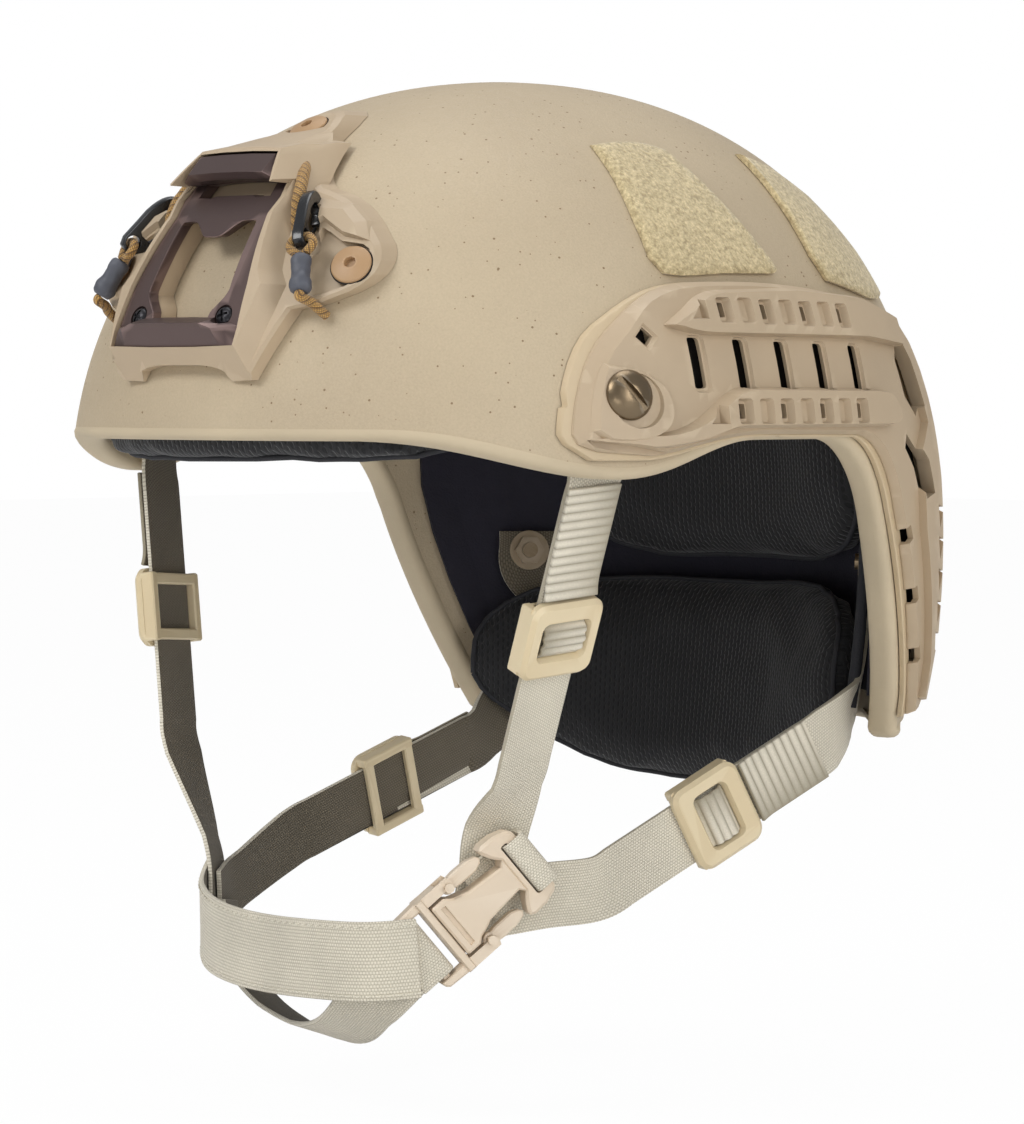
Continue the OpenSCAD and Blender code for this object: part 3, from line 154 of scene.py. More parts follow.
def srgb(r, g, b):
    """A colour as it looks on a screen, 0 to 255, as the shader's own linear numbers."""
    return tuple(((c / 255 + 0.055) / 1.055) ** 2.4 for c in (r, g, b)) + (1.0,)


print("node helpers ready")

# %% Studio
scene = bpy.context.scene
scene.view_settings.view_transform = "Standard"
world = bpy.data.worlds.new("studio")
scene.world = world
world.use_nodes = True
tree = world.node_tree
tree.nodes.clear()
path = add(tree, "ShaderNodeLightPath")
seen = maths(tree, "MAXIMUM", path.outputs["Is Camera Ray"], path.outputs["Is Transmission Ray"])
soft = add(tree, "ShaderNodeBackground", {"Color": (0.95, 0.97, 1, 1), "Strength": 0.42})
white = add(tree, "ShaderNodeBackground", {"Color": (1, 1, 1, 1), "Strength": 1.0})
mixed = add(tree, "ShaderNodeMixShader", {0: seen, 1: soft.outputs[0], 2: white.outputs[0]})
add(tree, "ShaderNodeOutputWorld", {"Surface": mixed.outputs[0]})


def lamp(name, place, size, power):
    bpy.ops.object.light_add(type="AREA")
    light = bpy.context.object
    light.name = name
    light.data.shape = "RECTANGLE"
    light.data.size, light.data.size_y = size
    light.data.energy = power
    aim(light, place, (0, 0, -0.02))


lamp("key_lamp", (-0.3, -1.5, 1.25), (0.9, 0.7), 17)
lamp("side_lamp", (1.6, -0.2, 0.5), (0.7, 1.0), 10)
lamp("top_lamp", (-0.2, 0.3, 1.6), (1.0, 1.0), 10)
lamp("low_lamp", (0.9, -1.2, -0.25), (0.8, 0.4), 5)
bpy.ops.mesh.primitive_plane_add(size=12, location=(0, 0, -0.205))
floor = bpy.context.object
floor.name = "floor"
mat, tree = new_material("pale_floor")
pale = add(tree, "ShaderNodeBsdfDiffuse", {"Color": (0.9, 0.9, 0.9, 1)})
bright = add(tree, "ShaderNodeEmission", {"Color": (1, 1, 1, 1), "Strength": 1})
path = add(tree, "ShaderNodeLightPath")
seen = maths(tree, "MULTIPLY", path.outputs["Is Camera Ray"], 0.97)
mixed = add(tree, "ShaderNodeMixShader", {0: seen, 1: pale.outputs[0], 2: bright.outputs[0]})
add(tree, "ShaderNodeOutputMaterial", {"Surface": mixed.outputs[0]})
floor.data.materials.append(mat)
print("four lamps and a floor")

# %% [markdown]
# ## The shell's surface as numbers
# Everything on this helmet sits on one doubly curved surface, so it is written down once. A level
# of the dome is a superellipse, a little squarer than an ellipse, and its size falls off towards the
# crown by another. The letter g is the height above the paint in millimetres.

# %% Surface of the dome
HALF_W, HALF_L, CROWN, WIDEST, WALL = 118.0, 136.0, 111.5, -21.0, 9.0
CROWN_ROUND, PLAN_ROUND = 2.15, 2.4


def spow(v, e):
    return math.copysign(abs(v) ** e, v)


def swell(z, g=0):
    up = min(1, max(0, z - WIDEST) / (CROWN + g - WIDEST))
    down = max(0, WIDEST - z) / 100
    return (1 - 0.1 * down ** 2) * (1 - up ** CROWN_ROUND) ** (1 / CROWN_ROUND)


def left_over(v, r):
    return max(0, 1 - (abs(v) / max(r, 1e-9)) ** PLAN_ROUND) ** (1 / PLAN_ROUND)


def dome_pt(turn, z, g=0):
    a, s = math.radians(turn), swell(z, g)
    return Vector(((HALF_W + g) * s * spow(math.cos(a), 2 / PLAN_ROUND),
                   (HALF_L + g) * s * spow(math.sin(a), 2 / PLAN_ROUND), z))


def side_pt(y, z, g=0):
    s = swell(z, g)
    return Vector(((HALF_W + g) * s * left_over(y, (HALF_L + g) * s), y, z))


def brow_pt(x, z, g=0):
    s = swell(z, g)
    return Vector((x, -(HALF_L + g) * s * left_over(x, (HALF_W + g) * s), z))


def side_n(y, z, g=0):
    a = side_pt(y + 0.5, z, g) - side_pt(y - 0.5, z, g)
    b = side_pt(y, z + 0.5, g) - side_pt(y, z - 0.5, g)
    return a.cross(b).normalized()


def brow_n(x, z, g=0):
    a = brow_pt(x + 0.5, z, g) - brow_pt(x - 0.5, z, g)
    b = brow_pt(x, z + 0.5, g) - brow_pt(x, z - 0.5, g)
    return a.cross(b).normalized()


print("half width at brim level", round(side_pt(0, 0).x, 1), "mm")

# %% Curves
def bez(a, b, c, d, n):
    """n points of a Bezier curve, without its last one."""
    pts = []
    for i in range(n):
        t, s = i / n, 1 - i / n
        pts.append(tuple(p * s ** 3 + q * 3 * s * s * t + r * 3 * s * t * t + w * t ** 3
                         for p, q, r, w in zip(a, b, c, d)))
    return pts


def smooth(points, n):
    """A soft curve through the points, with n steps to each stretch."""
    p = [Vector(q) for q in points]
    m, out = len(p) - 1, []
    for i in range(m):
        a, b, c, d = p[max(i - 1, 0)], p[i], p[i + 1], p[min(i + 2, m)]
        for k in range(n):
            t = k / n
            out.append(0.5 * (2 * b + (c - a) * t + (2 * a - 5 * b + 4 * c - d) * t * t
                              + (3 * b - a - 3 * c + d) * t ** 3))
    return out + [p[m]]


def unit(v):
    return Vector(v).normalized()


def heading(path, i):
    """The direction of a path at its point i."""
    return unit(path[min(i + 1, len(path) - 1)] - path[max(i - 1, 0)])


def distances(path):
    """How far along the path each of its points lies."""
    out = [0.0]
    for a, b in zip(path, path[1:]):
        out.append(out[-1] + (b - a).length)
    return out


print("curve helpers ready")

# %% [markdown]
# ## Working as by hand
# Each new piece starts as one of Blender's primitives, is shaped with edit-mode operators and is
# finished with modifiers. These few helpers select, extrude, cut and bevel, so that every later cell
# says only what is special about its own piece.

# %% Modelling helpers
def only(obj):
    """Leaves just this object selected and active."""
    for o in bpy.context.selected_objects:
        o.select_set(False)
    obj.select_set(True)
    bpy.context.view_layer.objects.active = obj
    return obj


def settle(obj, name):
    """Puts the object's place into its mesh, so that it ends at the origin, unturned."""
    only(obj)
    bpy.ops.object.transform_apply(location=True, rotation=True, scale=True)
    obj.data.validate()
    obj.name = obj.data.name = name
    return obj


def apply_modifier(obj, kind, **settings):
    mod = obj.modifiers.new(kind.lower(), kind)
    for key, value in settings.items():
        setattr(mod, key, value)
    only(obj)
    bpy.ops.object.modifier_apply(modifier=mod.name)
    return obj


def cut(obj, *tools, operation="DIFFERENCE"):
    for tool in tools:
        apply_modifier(obj, "BOOLEAN", object=tool, operation=operation, solver="EXACT")
        bpy.data.objects.remove(tool)
    return obj


def fuse(obj, *pieces):
    return cut(obj, *pieces, operation="UNION")


def join(first, *others):
    only(first)
    for o in others:
        o.select_set(True)
    bpy.ops.object.join()
    return first


def bevel(obj, width, segments=2, angle=28):
    return apply_modifier(obj, "BEVEL", width=width * MM, segments=segments, limit_method="ANGLE",
                          angle_limit=math.radians(angle), miter_outer="MITER_ARC", harden_normals=False)


def shade(obj, angle=35):
    only(obj)
    bpy.ops.object.shade_smooth_by_angle(angle=math.radians(angle))
    if angle < 45:
        apply_modifier(obj, "WEIGHTED_NORMAL", keep_sharp=True, weight=60)
    return obj


def outward(obj):
    """Merges doubles and turns every face outwards."""
    only(obj)
    bpy.ops.object.mode_set(mode="EDIT")
    bpy.ops.mesh.select_all(action="SELECT")
    bpy.ops.mesh.remove_doubles(threshold=1e-6)
    bpy.ops.mesh.normals_make_consistent(inside=False)
    bpy.ops.object.mode_set(mode="OBJECT")
    return obj


def duplicate(obj, name, mirrored=False):
    twin = obj.copy()
    twin.data = obj.data.copy()
    bpy.context.scene.collection.objects.link(twin)
    twin.name = twin.data.name = name
    if mirrored:
        twin.data.transform(Matrix.Scale(-1, 4, (1, 0, 0)))
        twin.data.flip_normals()
    return twin


def plate(name, levels):
    """A flat slab whose outline is drawn at each level: [(height, [(a, b), ...]), ...] in mm."""
    height, line = levels[0]
    bpy.ops.mesh.primitive_circle_add(vertices=len(line), radius=1, fill_type="NGON")
    obj = bpy.context.object
    for v, (a, b) in zip(obj.data.vertices, line):
        v.co = (a * MM, b * MM, height * MM)
    for height, line in levels[1:]:
        only(obj)
        bpy.ops.object.mode_set(mode="EDIT")
        bpy.ops.mesh.extrude_region_move(TRANSFORM_OT_translate={"value": (0, 0, 0.001)})
        bpy.ops.object.mode_set(mode="OBJECT")
        for v, (a, b) in zip([v for v in obj.data.vertices if v.select], line):
            v.co = (a * MM, b * MM, height * MM)
    obj.name = obj.data.name = name
    return outward(obj)


def prism(line, low, high):
    """A slab with upright walls, from one height to another."""
    return plate("prism", [(low, line), (high, line)])


def score(obj, axis, places):
    """Adds a ring of edges across the flat piece at each of the places along the axis, in mm."""
    across = [1 if i == axis else 0 for i in range(3)]
    only(obj)
    bpy.ops.object.mode_set(mode="EDIT")
    for place in places:
        bpy.ops.mesh.select_all(action="SELECT")
        bpy.ops.mesh.bisect(plane_co=[place * MM * share for share in across], plane_no=across)
    bpy.ops.object.mode_set(mode="OBJECT")
    return obj


def slice_up(obj, step, low, high):
    """Cuts the flat piece along a grid, so that it can bend smoothly over the shell."""
    for axis in (0, 1):
        reach = high[axis] - low[axis]
        n = max(1, round(reach / step))
        score(obj, axis, [low[axis] + reach * i / n for i in range(1, n)])
    return obj


def wrap(obj, onto):
    """Lays the flat piece on the shell; its third coordinate becomes the height over the paint."""
    for v in obj.data.vertices:
        v.co = onto(v.co.x / MM, v.co.y / MM, v.co.z / MM) * MM
    obj.data.update()
    return obj


def span(line):
    """The lowest and the highest corner of the box round an outline."""
    across, up = zip(*line)
    return (min(across), min(up)), (max(across), max(up))


def place_piece(obj, *stands_for, slot, body="helmet"):
    """Gives the finished piece its body and hides the solids it stands for; slot is not used."""
    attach(obj, body)
    if stands_for:
        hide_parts(*stands_for)
    return obj


def dress(obj, mat, *stands_for, slot, body="helmet"):
    obj.data.materials.clear()
    obj.data.materials.append(mat)
    return place_piece(obj, *stands_for, slot=slot, body=body)


def left_and_right(left, name, mat, node, slot, angle=None, rides=None):
    """Makes the mirror image of a left piece and dresses the two of them."""
    right = duplicate(left, "right_" + name, mirrored=True)
    for side, piece in (("left_", left), ("right_", right)):
        if angle:
            shade(piece, angle)
        stands_for = [side + node] if node else []
        dress(piece, mat, *stands_for, slot=slot, body=side + rides if rides else "helmet")


print("modelling helpers ready")

# %% [markdown]
# ## Paint on the shell
# The shell is pressed from layers of fibre and sprayed with a thick, dry paint. Close up it has a
# fine orange-peel grain and scattered pin-head pits where the spray left a bubble. The grain is a
# small noise, the pits are the middles of most cells of a Voronoi pattern, and both feed the bump.

# %% Shell paint
def shell_paint():
    mat, tree = new_material("sand_shell_paint")
    where = object_place(tree)
    grain, lumps = noise_at(tree, where, 1500, 3, 0.6), noise_at(tree, where, 330, 2)
    cells = add(tree, "ShaderNodeTexVoronoi", {"Vector": where, "Scale": 340, "Randomness": 1.0})
    lot = add(tree, "ShaderNodeSeparateColor", {"Color": cells.outputs["Color"]})
    pitted = maths(tree, "GREATER_THAN", lot.outputs[0], 0.12)
    size = carried(tree, lot.outputs[1], 0.05, 0.135)
    pit = maths(tree, "MULTIPLY", pitted, maths(tree, "LESS_THAN", cells.outputs["Distance"], size))
    tone = ramp(tree, noise_at(tree, where, 14, 3), (0.35, srgb(178, 161, 134)), (0.68, srgb(187, 170, 142)))
    flecked = scaled(tree, tone, carried(tree, grain, 0.93, 1.04, 0.3, 0.72))
    color = mixed_color(tree, pit, flecked, srgb(128, 106, 76))
    height = maths(tree, "ADD", maths(tree, "MULTIPLY", lumps, 0.6), grain)
    height = maths(tree, "SUBTRACT", height, pit)
    return surface(mat, color, carried(tree, lumps, 0.5, 0.72), height, 0.28, 0.0006)


PAINT = shell_paint()
print("paint:", PAINT.name)

# %% [markdown]
# ## Shell
# A sphere is the natural start for a dome. Its points move out to the superellipse, a second and
# smaller one is cut away to leave a 9 mm wall, and a side-view cutter trims the brim, the ear arches
# and the nape. The bolt holes are under their bolts, and cut as well.

# %% Edge line of the shell, seen from the side
TEMPLE, NAPE, EDGE_H = 11.3, 94.0, 3.5
NAPE_CORNER = (77, -NAPE + 3)


def edge_line(d, fine=3):
    """Brim, temple, ear arch and nape as (y, z); d is how much of the edging is left out."""
    line = bez((-118, d), (-100, d), (-82, d - TEMPLE), (-59, d - TEMPLE), 7 * fine)
    line += bez((-59, d - TEMPLE), (-40, d - TEMPLE), (-28, d), (-6, d), 7 * fine) + [(-6, d)]
    line += bez((24, d), (38, d), (47 + d * 0.7, -9 + d * 0.6), (52 + d, -27 + d * 0.3), 6 * fine)
    line += bez((52 + d, -27 + d * 0.3), (58 + d, -45 + d * 0.3), (69 + d, -72 + d * 0.3),
                (NAPE_CORNER[0] + d, NAPE_CORNER[1]), 6 * fine)
    x, z = NAPE_CORNER
    line += bez((x + d, z), (x + d + 0.7, z - 3 + d * 0.4), (x + d + 2, z - 3 + d), (x + 7, z - 3 + d),
                3 * fine)
    return line + [(x + 7, z - 3 + d), (108, -NAPE + 2 + d)]


def dome(name, g, low):
    """A sphere moved out to the surface that lies g over the paint, open level low at the bottom."""
    bpy.ops.mesh.primitive_uv_sphere_add(segments=256, ring_count=128, radius=1)
    obj = bpy.context.object
    for v in obj.data.vertices:
        turn = math.degrees(math.atan2(v.co.y, v.co.x))
        lift = math.asin(max(-1, min(1, v.co.z)))
        if lift >= 0:
            z = WIDEST + (CROWN + g - WIDEST) * math.sin(lift) ** (2 / CROWN_ROUND)
            p = Vector((0, 0, CROWN + g)) if v.co.z > 0.99999 else dome_pt(turn, z, g)
        else:
            z = WIDEST + (low - WIDEST) * min(1, -lift / (math.pi / 2) * 1.15)
            p = dome_pt(turn, z, g)
            if -lift / (math.pi / 2) * 1.15 > 1:
                p = Vector((p.x * 0.02, p.y * 0.02, p.z))
        v.co = p * MM
    obj.name = name
    return outward(obj)


def side_tool(line, reach=150):
    """A cutter with an outline in the side view, running right across the helmet."""
    tool = plate("side_tool", [(-reach, line), (reach, line)])
    for v in tool.data.vertices:
        v.co = (v.co.z, v.co.x, v.co.y)
    return tool


def bore(place, normal, radius, depth, start=0.0):
    """A round cutter along a normal; start is where it begins, measured outwards."""
    bpy.ops.mesh.primitive_cylinder_add(vertices=40, radius=radius * MM, depth=depth * MM)
    tool = bpy.context.object
    tool.rotation_mode = "QUATERNION"
    tool.rotation_quaternion = Vector(normal).to_track_quat("Z", "Y")
    tool.location = (Vector(place) + Vector(normal) * (start + depth / 2)) * MM
    return settle(tool, "bore")


RAIL_BOLT, NAPE_BOLT, HOLE_R = (-60, 12), (99.96, -41), 2.7
SHROUD_TOP, SHROUD_SIDE, SCREW = (0, 89.8), (50.1, 48.7), (18.2, 33.2)


def mirrored_vector(v, s):
    return Vector((v.x * s, v.y, v.z))


def on_flank(y, z, s=1):
    """Place and outward normal of a spot on the flank; s is -1 for the wearer's right."""
    return mirrored_vector(side_pt(y, z), s), mirrored_vector(side_n(y, z), s)


def on_brow(x, z, s=1):
    """Place and outward normal of a spot on the brow; s is -1 for the wearer's right."""
    return mirrored_vector(brow_pt(x, z), s), mirrored_vector(brow_n(x, z), s)


shell = dome("shell_form", 0, -112)
cut(shell, dome("hollow", -WALL, -120))
below = [(-200, -180), (-200, EDGE_H)] + edge_line(EDGE_H) + [(200, -NAPE + 7.5), (200, -180)]
cut(shell, side_tool(below))
for s in (1, -1):
    nape_spot = on_flank(*NAPE_BOLT, s)
    cut(shell, bore(*on_flank(*RAIL_BOLT, s), HOLE_R, 50, -25), bore(*nape_spot, HOLE_R, 50, -25),
        bore(*nape_spot, 7, 8, -0.7), bore(*on_brow(*SHROUD_SIDE, s), HOLE_R, 50, -25))
cut(shell, bore(*on_brow(*SHROUD_TOP), HOLE_R, 50, -25))
settle(shell, "shell_skin")
dress(shade(shell, 46), PAINT, "shell", slot="shell_paint")
print("shell:", len(shell.data.polygons), "faces")

# %% [markdown]
# ## Edging
# The cut edge of the laminate is covered by a thin moulded band, a shade lighter than the paint and
# with its own coarser texture. It follows the whole edge, so it is a strip bent round the helmet:
# a flat grid, one row of faces for each step along the edge, with the roll of the rubber across it.

# %% Edging
ENDS_STEPS = 18


def edging_stations():
    """(kind, share of the half width, (y, z), way down) along the left half of the edge."""
    line = edge_line(EDGE_H)
    out = [("front", i / ENDS_STEPS, line[0], (0, -1)) for i in range(ENDS_STEPS)]
    for i, p in enumerate(line):
        a, b = line[max(i - 1, 0)], line[min(i + 1, len(line) - 1)]
        d = Vector((b[0] - a[0], b[1] - a[1])).normalized()
        out.append(("side", 1, p, (d.y, -d.x)))
    return out + [("back", 1 - i / ENDS_STEPS, line[-1], (0, -1)) for i in range(1, ENDS_STEPS + 1)]


def edging_pt(station, g):
    kind, f, (y, z), _ = station
    if kind == "side":
        return side_pt(y, z, g)
    x = f * side_pt(y, z, g).x
    p = brow_pt(x, z, g)
    return p if kind == "front" else Vector((p.x, -p.y, p.z))


ROLL = [(0, 0), (-0.03, 0.3), (0.0, 0.6), (0.06, 0.8), (0.16, 0.94), (0.3, 1.0), (0.7, 1.0), (0.84, 0.94),
        (0.94, 0.8), (1.0, 0.6), (1.03, 0.3), (1, 0)]


def edging_ring(station, s):
    """The roll of the band across the edge at one station, for the left (1) or the right (-1)."""
    outer, inner, (dy, dz) = edging_pt(station, 0), edging_pt(station, -WALL), station[3]
    ring = []
    for across, down in ROLL:
        p = outer.lerp(inner, across)
        ring.append(Vector((s * p.x, p.y + dy * EDGE_H * down, p.z + dz * EDGE_H * down)))
    return ring


stations = edging_stations()
rings = [edging_ring(t, 1) for t in stations] + [edging_ring(t, -1) for t in stations[-2:0:-1]]
bpy.ops.mesh.primitive_grid_add(x_subdivisions=len(ROLL) - 1, y_subdivisions=len(rings), size=1)
edging = bpy.context.object
for k, v in enumerate(edging.data.vertices):
    row, col = divmod(k, len(ROLL))
    v.co = rings[row % len(rings)][col] * MM
only(edging)
bpy.ops.object.mode_set(mode="EDIT")
bpy.ops.mesh.select_all(action="SELECT")
bpy.ops.mesh.remove_doubles(threshold=1e-6)
bpy.ops.mesh.select_all(action="DESELECT")
bpy.ops.object.mode_set(mode="OBJECT")
settle(edging, "edging_band")
mesh = bmesh.new()
mesh.from_mesh(edging.data)
bmesh.ops.bridge_loops(mesh, edges=[e for e in mesh.edges if e.is_boundary])
bmesh.ops.recalc_face_normals(mesh, faces=mesh.faces)
mesh.to_mesh(edging.data)
mesh.free()
print("edging:", len(edging.data.polygons), "faces,", len(rings), "stations")

# %% Plain moulded plastics and rubber
def moulded(name, color, grain=900, rough=(0.42, 0.6), bump=0.12, drift=0.05, edge=None):
    """Moulded plastic: a fine spark-eroded grain, faint flow marks and paler worn edges."""
    mat, tree = new_material(name)
    where = object_place(tree)
    fine, wide = noise_at(tree, where, grain, 2), noise_at(tree, where, 28, 4)
    tinted = scaled(tree, color[:3], carried(tree, wide, 1 - drift, 1 + drift, 0.3, 0.7))
    if edge:
        sharp = add(tree, "ShaderNodeNewGeometry").outputs["Pointiness"]
        tinted = mixed_color(tree, carried(tree, sharp, 0, 0.3, 0.52, 0.6), tinted, edge)
    return surface(mat, tinted, carried(tree, wide, *rough), fine, bump, 0.0003)


RAIL = moulded("rail_tan_plastic", srgb(178, 158, 131), edge=srgb(204, 186, 158))
BACKING = moulded("light_tan_plastic", srgb(192, 172, 140))
EDGE_RUBBER = moulded("edging_rubber", srgb(190, 174, 146), grain=520, rough=(0.6, 0.8), bump=0.5, drift=0.06)
dress(shade(edging, 60), EDGE_RUBBER, "edge_trim", slot="edge_rubber")
print("plastics:", RAIL.name, BACKING.name, EDGE_RUBBER.name)

# %% [markdown]
# ## Side rails
# The rail is one moulding: a web that hugs the shell, two notched ridges with a channel between
# them, a raised field round the front bolt and an arm down behind the ear. It is far easier to draw
# flat, so it is modelled as stacked plates on the table, cut and bevelled there, sliced into small
# faces and then laid on the dome. Every wall keeps its height over the paint that way.

# %% Rail outline in the side view
def rail_line(e, fine=2):
    """Outline of the rail as (y, z); e grows its front and its lower edge."""
    line = bez((-77 - e, 2), (-76 - e, 10), (-72 - e, 24 + e), (-62 - e * 0.7, 32 + e * 0.7), 4 * fine)
    line += bez((-62 - e * 0.7, 32 + e * 0.7), (-52, 40 + e * 0.4), (-44, 46), (-28, 46.8), 4 * fine)
    line += bez((-28, 46.8), (0, 48), (30, 47), (58, 40), 5 * fine)
    line += bez((58, 40), (70, 36), (74, 22), (79, 6), 5 * fine)
    line += bez((79, 6), (86, -16), (90, -40), (91, -76), 5 * fine)
    line += [(90, -80 - e * 0.3), (84, -86 - e * 0.3), (79.5 - e, -87 - e * 0.3)]
    line += bez((77.5 - e * 0.6, -80), (70 - e, -58), (62 - e, -36), (56 - e, -22), 5 * fine)
    line += bez((56 - e, -22), (52 - e, -10 - e * 0.5), (46 - e, 1.6 - e * 0.4), (32, 1.8 - e * 0.3),
                5 * fine)
    line += [(-10, 1.8 - e * 0.3)]
    line += bez((-16, 1.6 - e * 0.3), (-34, 0.5 - e * 0.5), (-44, -4.2 - e * 0.5), (-57, -4.6 - e * 0.5),
                5 * fine)
    return line + [(-70 - e * 0.5, -3 - e), (-75.5 - e, -1)]


def inset(line, amount):
    """The outline moved inwards; amount is a number or a function of the point."""
    n, out = len(line), []
    turn = sum(line[i - 1][0] * line[i][1] - line[i][0] * line[i - 1][1] for i in range(n))
    s = 1 if turn > 0 else -1
    for i, p in enumerate(line):
        a, b = Vector(line[i - 1]), Vector(line[(i + 1) % n])
        d = (Vector(p) - a).normalized() + (b - Vector(p)).normalized()
        d = d.normalized() if d.length > 1e-6 else (b - a).normalized()
        k = amount(p) if callable(amount) else amount
        out.append((p[0] - s * d.y * k, p[1] + s * d.x * k))
    return out


def grown(line, amount):
    return inset(line, -amount)


def pill(a, b, w, h, round_by=0.5, corners=5):
    """A rectangle with rounded corners round the point (a, b)."""
    r, pts = min(w, h) * round_by / 2, []
    for ca, cb, start in ((1, 1, 0), (-1, 1, 90), (-1, -1, 180), (1, -1, 270)):
        for k in range(corners + 1):
            t = math.radians(start + 90 * k / corners)
            pts.append((a + ca * (w / 2 - r) + r * math.cos(t), b + cb * (h / 2 - r) + r * math.sin(t)))
    return pts


def circle(y, z, r, n):
    turns = [math.radians(360 / n * k) for k in range(n)]
    return [(y + r * math.cos(t), z + r * math.sin(t)) for t in turns]


PITCH, FIRST = 17.6, -24.6
UPPER_Z, LOWER_Z, RAIL_WEB, RIDGE = 38.5, 8.6, 6.0, 11.0
SQUARE_HOLE = (-51.8, 30.4)
print("rail outline:", len(rail_line(0)), "points")

# %% Stacked plates of the rail
FIELD_TOP = 7.8


def taper(obj, start, slope):
    """Lowers the top of a plate steadily forward of the given place."""
    score(obj, 0, [start])
    for v in obj.data.vertices:
        if v.co.z > 8 * MM:
            v.co.z -= slope * max(0, start * MM - v.co.x)
    return obj


def rail_field():
    """The raised field round the front bolt; its top is tilted a little."""
    line = bez((-73.4, 3), (-72.8, 10), (-70.6, 17), (-67, 22.4), 10)
    line += bez((-67, 22.4), (-57, 20.6), (-47.5, 20), (-48, 9), 14)
    line += bez((-48, 9), (-48.6, -0.6), (-62, -1.4), (-72, 0.4), 12)
    foot = grown(line, 0.4)
    raised = plate("field", [(4, foot), (RAIL_WEB - 0.3, foot), (FIELD_TOP, inset(line, 0.9))])
    y, z = RAIL_BOLT
    for v in raised.data.vertices:
        if v.co.z > (FIELD_TOP - 0.8) * MM:
            v.co.z += 0.075 * ((v.co.x - y * MM) * 0.6 - (v.co.y - z * MM) * 0.8)
    return raised


def rail_low_ridge():
    line = bez((-73, -0.4), (-62, -3), (-46, -3.2), (-33, 1.7), 12)
    line += bez((-33, 1.7), (-29, 3.2), (-26, 3.7), (-20, 3.7), 4)
    line += bez((46, 3.7), (52, 3.9), (53, 7), (50.5, 11), 6)
    line += bez((50.5, 11), (48, 15), (45, 15.4), (39, 15.4), 6)
    line += bez((-17, 15.9), (-31, 16.4), (-33, 4.6), (-52, 2.4), 16) + [(-52, 2.4), (-62, 1.7), (-72.6, 0.8)]
    slim = inset(line, lambda p: min(1, max(0.05, (p[0] + 74) / 26)))
    return taper(plate("low", [(4, line), (RAIL_WEB, line), (RIDGE, slim)]), -31, 0.1)


def rail_high_ridge():
    line = bez((-45, 34), (-38, 31.4), (-34, 31), (-26, 31), 6)
    line += [(40, 30.4), (62.5, 28.4), (62, 37.6), (43, 43.6), (10, 45.6)]
    line += bez((-22, 44.6), (-30, 44), (-34, 41), (-39, 37), 6)
    return plate("high", [(4, line), (RAIL_WEB, line), (RIDGE - 1, inset(line, 0.9))])


def rail_arch():
    line = [(64, 36)] + bez((70, 30), (76, 20), (80, 6), (82, -4), 4)
    line += bez((84, -12), (88, -36), (88.5, -56), (88.5, -76), 4) + [(83, -83), (80.5, -82)]
    line += bez((81, -70), (76, -50), (71, -34), (66, -20), 5) + [(66, -4), (73, 5), (68, 18), (60, 31)]
    return plate("arch", [(4, line), (8.6, inset(line, 0.8))])


def rim_width(p):
    """The sloping rim of the web is widest round the front bolt."""
    near = min(1, max(0, (-46 - p[0]) / 16)) * min(1, max(0, (p[1] + 5) / 7))
    return 1.3 + 2.1 * near * near * (3 - 2 * near)


def diamond(y, z, r):
    return [(y - r, z), (y, z - r), (y + r, z), (y, z + r)]


def pocket(y, z, top_g, deep):
    top = pill(y + 0.6, z, 6.0, 7.6, 0.35)
    return plate("pocket", [(top_g - deep, pill(y, z, 4.8, 6.4, 0.35)), (top_g, top), (RIDGE + 0.5, top)])


def half_pocket(z):
    low = [(-36.5, z - 3), (-31.5, z - 3), (-31.5, z + 2.6)]
    top = [(-38, z - 3.4), (-30.8, z - 3.4), (-30.8, z + 3.6)]
    return plate("half", [(RAIL_WEB + 1.6, low), (RIDGE + 1, top)])


def row_places(count, shift=0.0):
    """Where the pockets of the two ridges lie, each with the height of its ridge."""
    rows = ((UPPER_Z, 0.4, RIDGE - 1), (LOWER_Z, 0.0, RIDGE))
    return [(FIRST + PITCH * (i + shift), z - drop * i, top) for i in range(count) for z, drop, top in rows]


line = rail_line(0)
rail = plate("rail", [(2.5, line), (3.3, line), (RAIL_WEB, inset(line, rim_width))])
fuse(rail, rail_field(), rail_low_ridge(), rail_high_ridge(), rail_arch())
hollow = [(-41, 35), (-41, 9), (-31, 5.6), (47, 5.6), (55, 2), (58.5, -12), (60.5, -28), (68, -50), (76, -72),
          (84, -72), (85, -50), (80, -20), (76, 6), (70, 26), (60, 34), (42, 41), (-22, 42.6), (-36, 39)]
low_hollow = [(-25, 5.4), (47, 5.4), (49, 7), (45, 13.4), (-18, 13.4)]
high_hollow = [(-29, 33.2), (40, 32.4), (60, 30.6), (58, 36), (42, 41), (10, 43), (-22, 42)]
cut(rail, plate("hollow", [(-1, hollow), (3.9, inset(hollow, 0.4))]),
    plate("square_hollow", [(-1, diamond(*SQUARE_HOLE, 6.6)), (3.9, diamond(*SQUARE_HOLE, 6))]),
    prism(low_hollow, 2, 7), prism(high_hollow, 2, 6))
cut(rail, join(*[pocket(y, z, top, 2.2) for y, z, top in row_places(4)]),
    join(*[pocket(y, z, top, 2.0) for y, z, top in row_places(3, 0.5)]),
    join(*[prism(pill(y + 0.5, z, 3.2, 4.4, 0.3), 0, RIDGE) for y, z, _ in row_places(4)]),
    join(*[half_pocket(z) for z in (UPPER_Z + 0.6, LOWER_Z - 0.4)]))
rims, slots = [], []
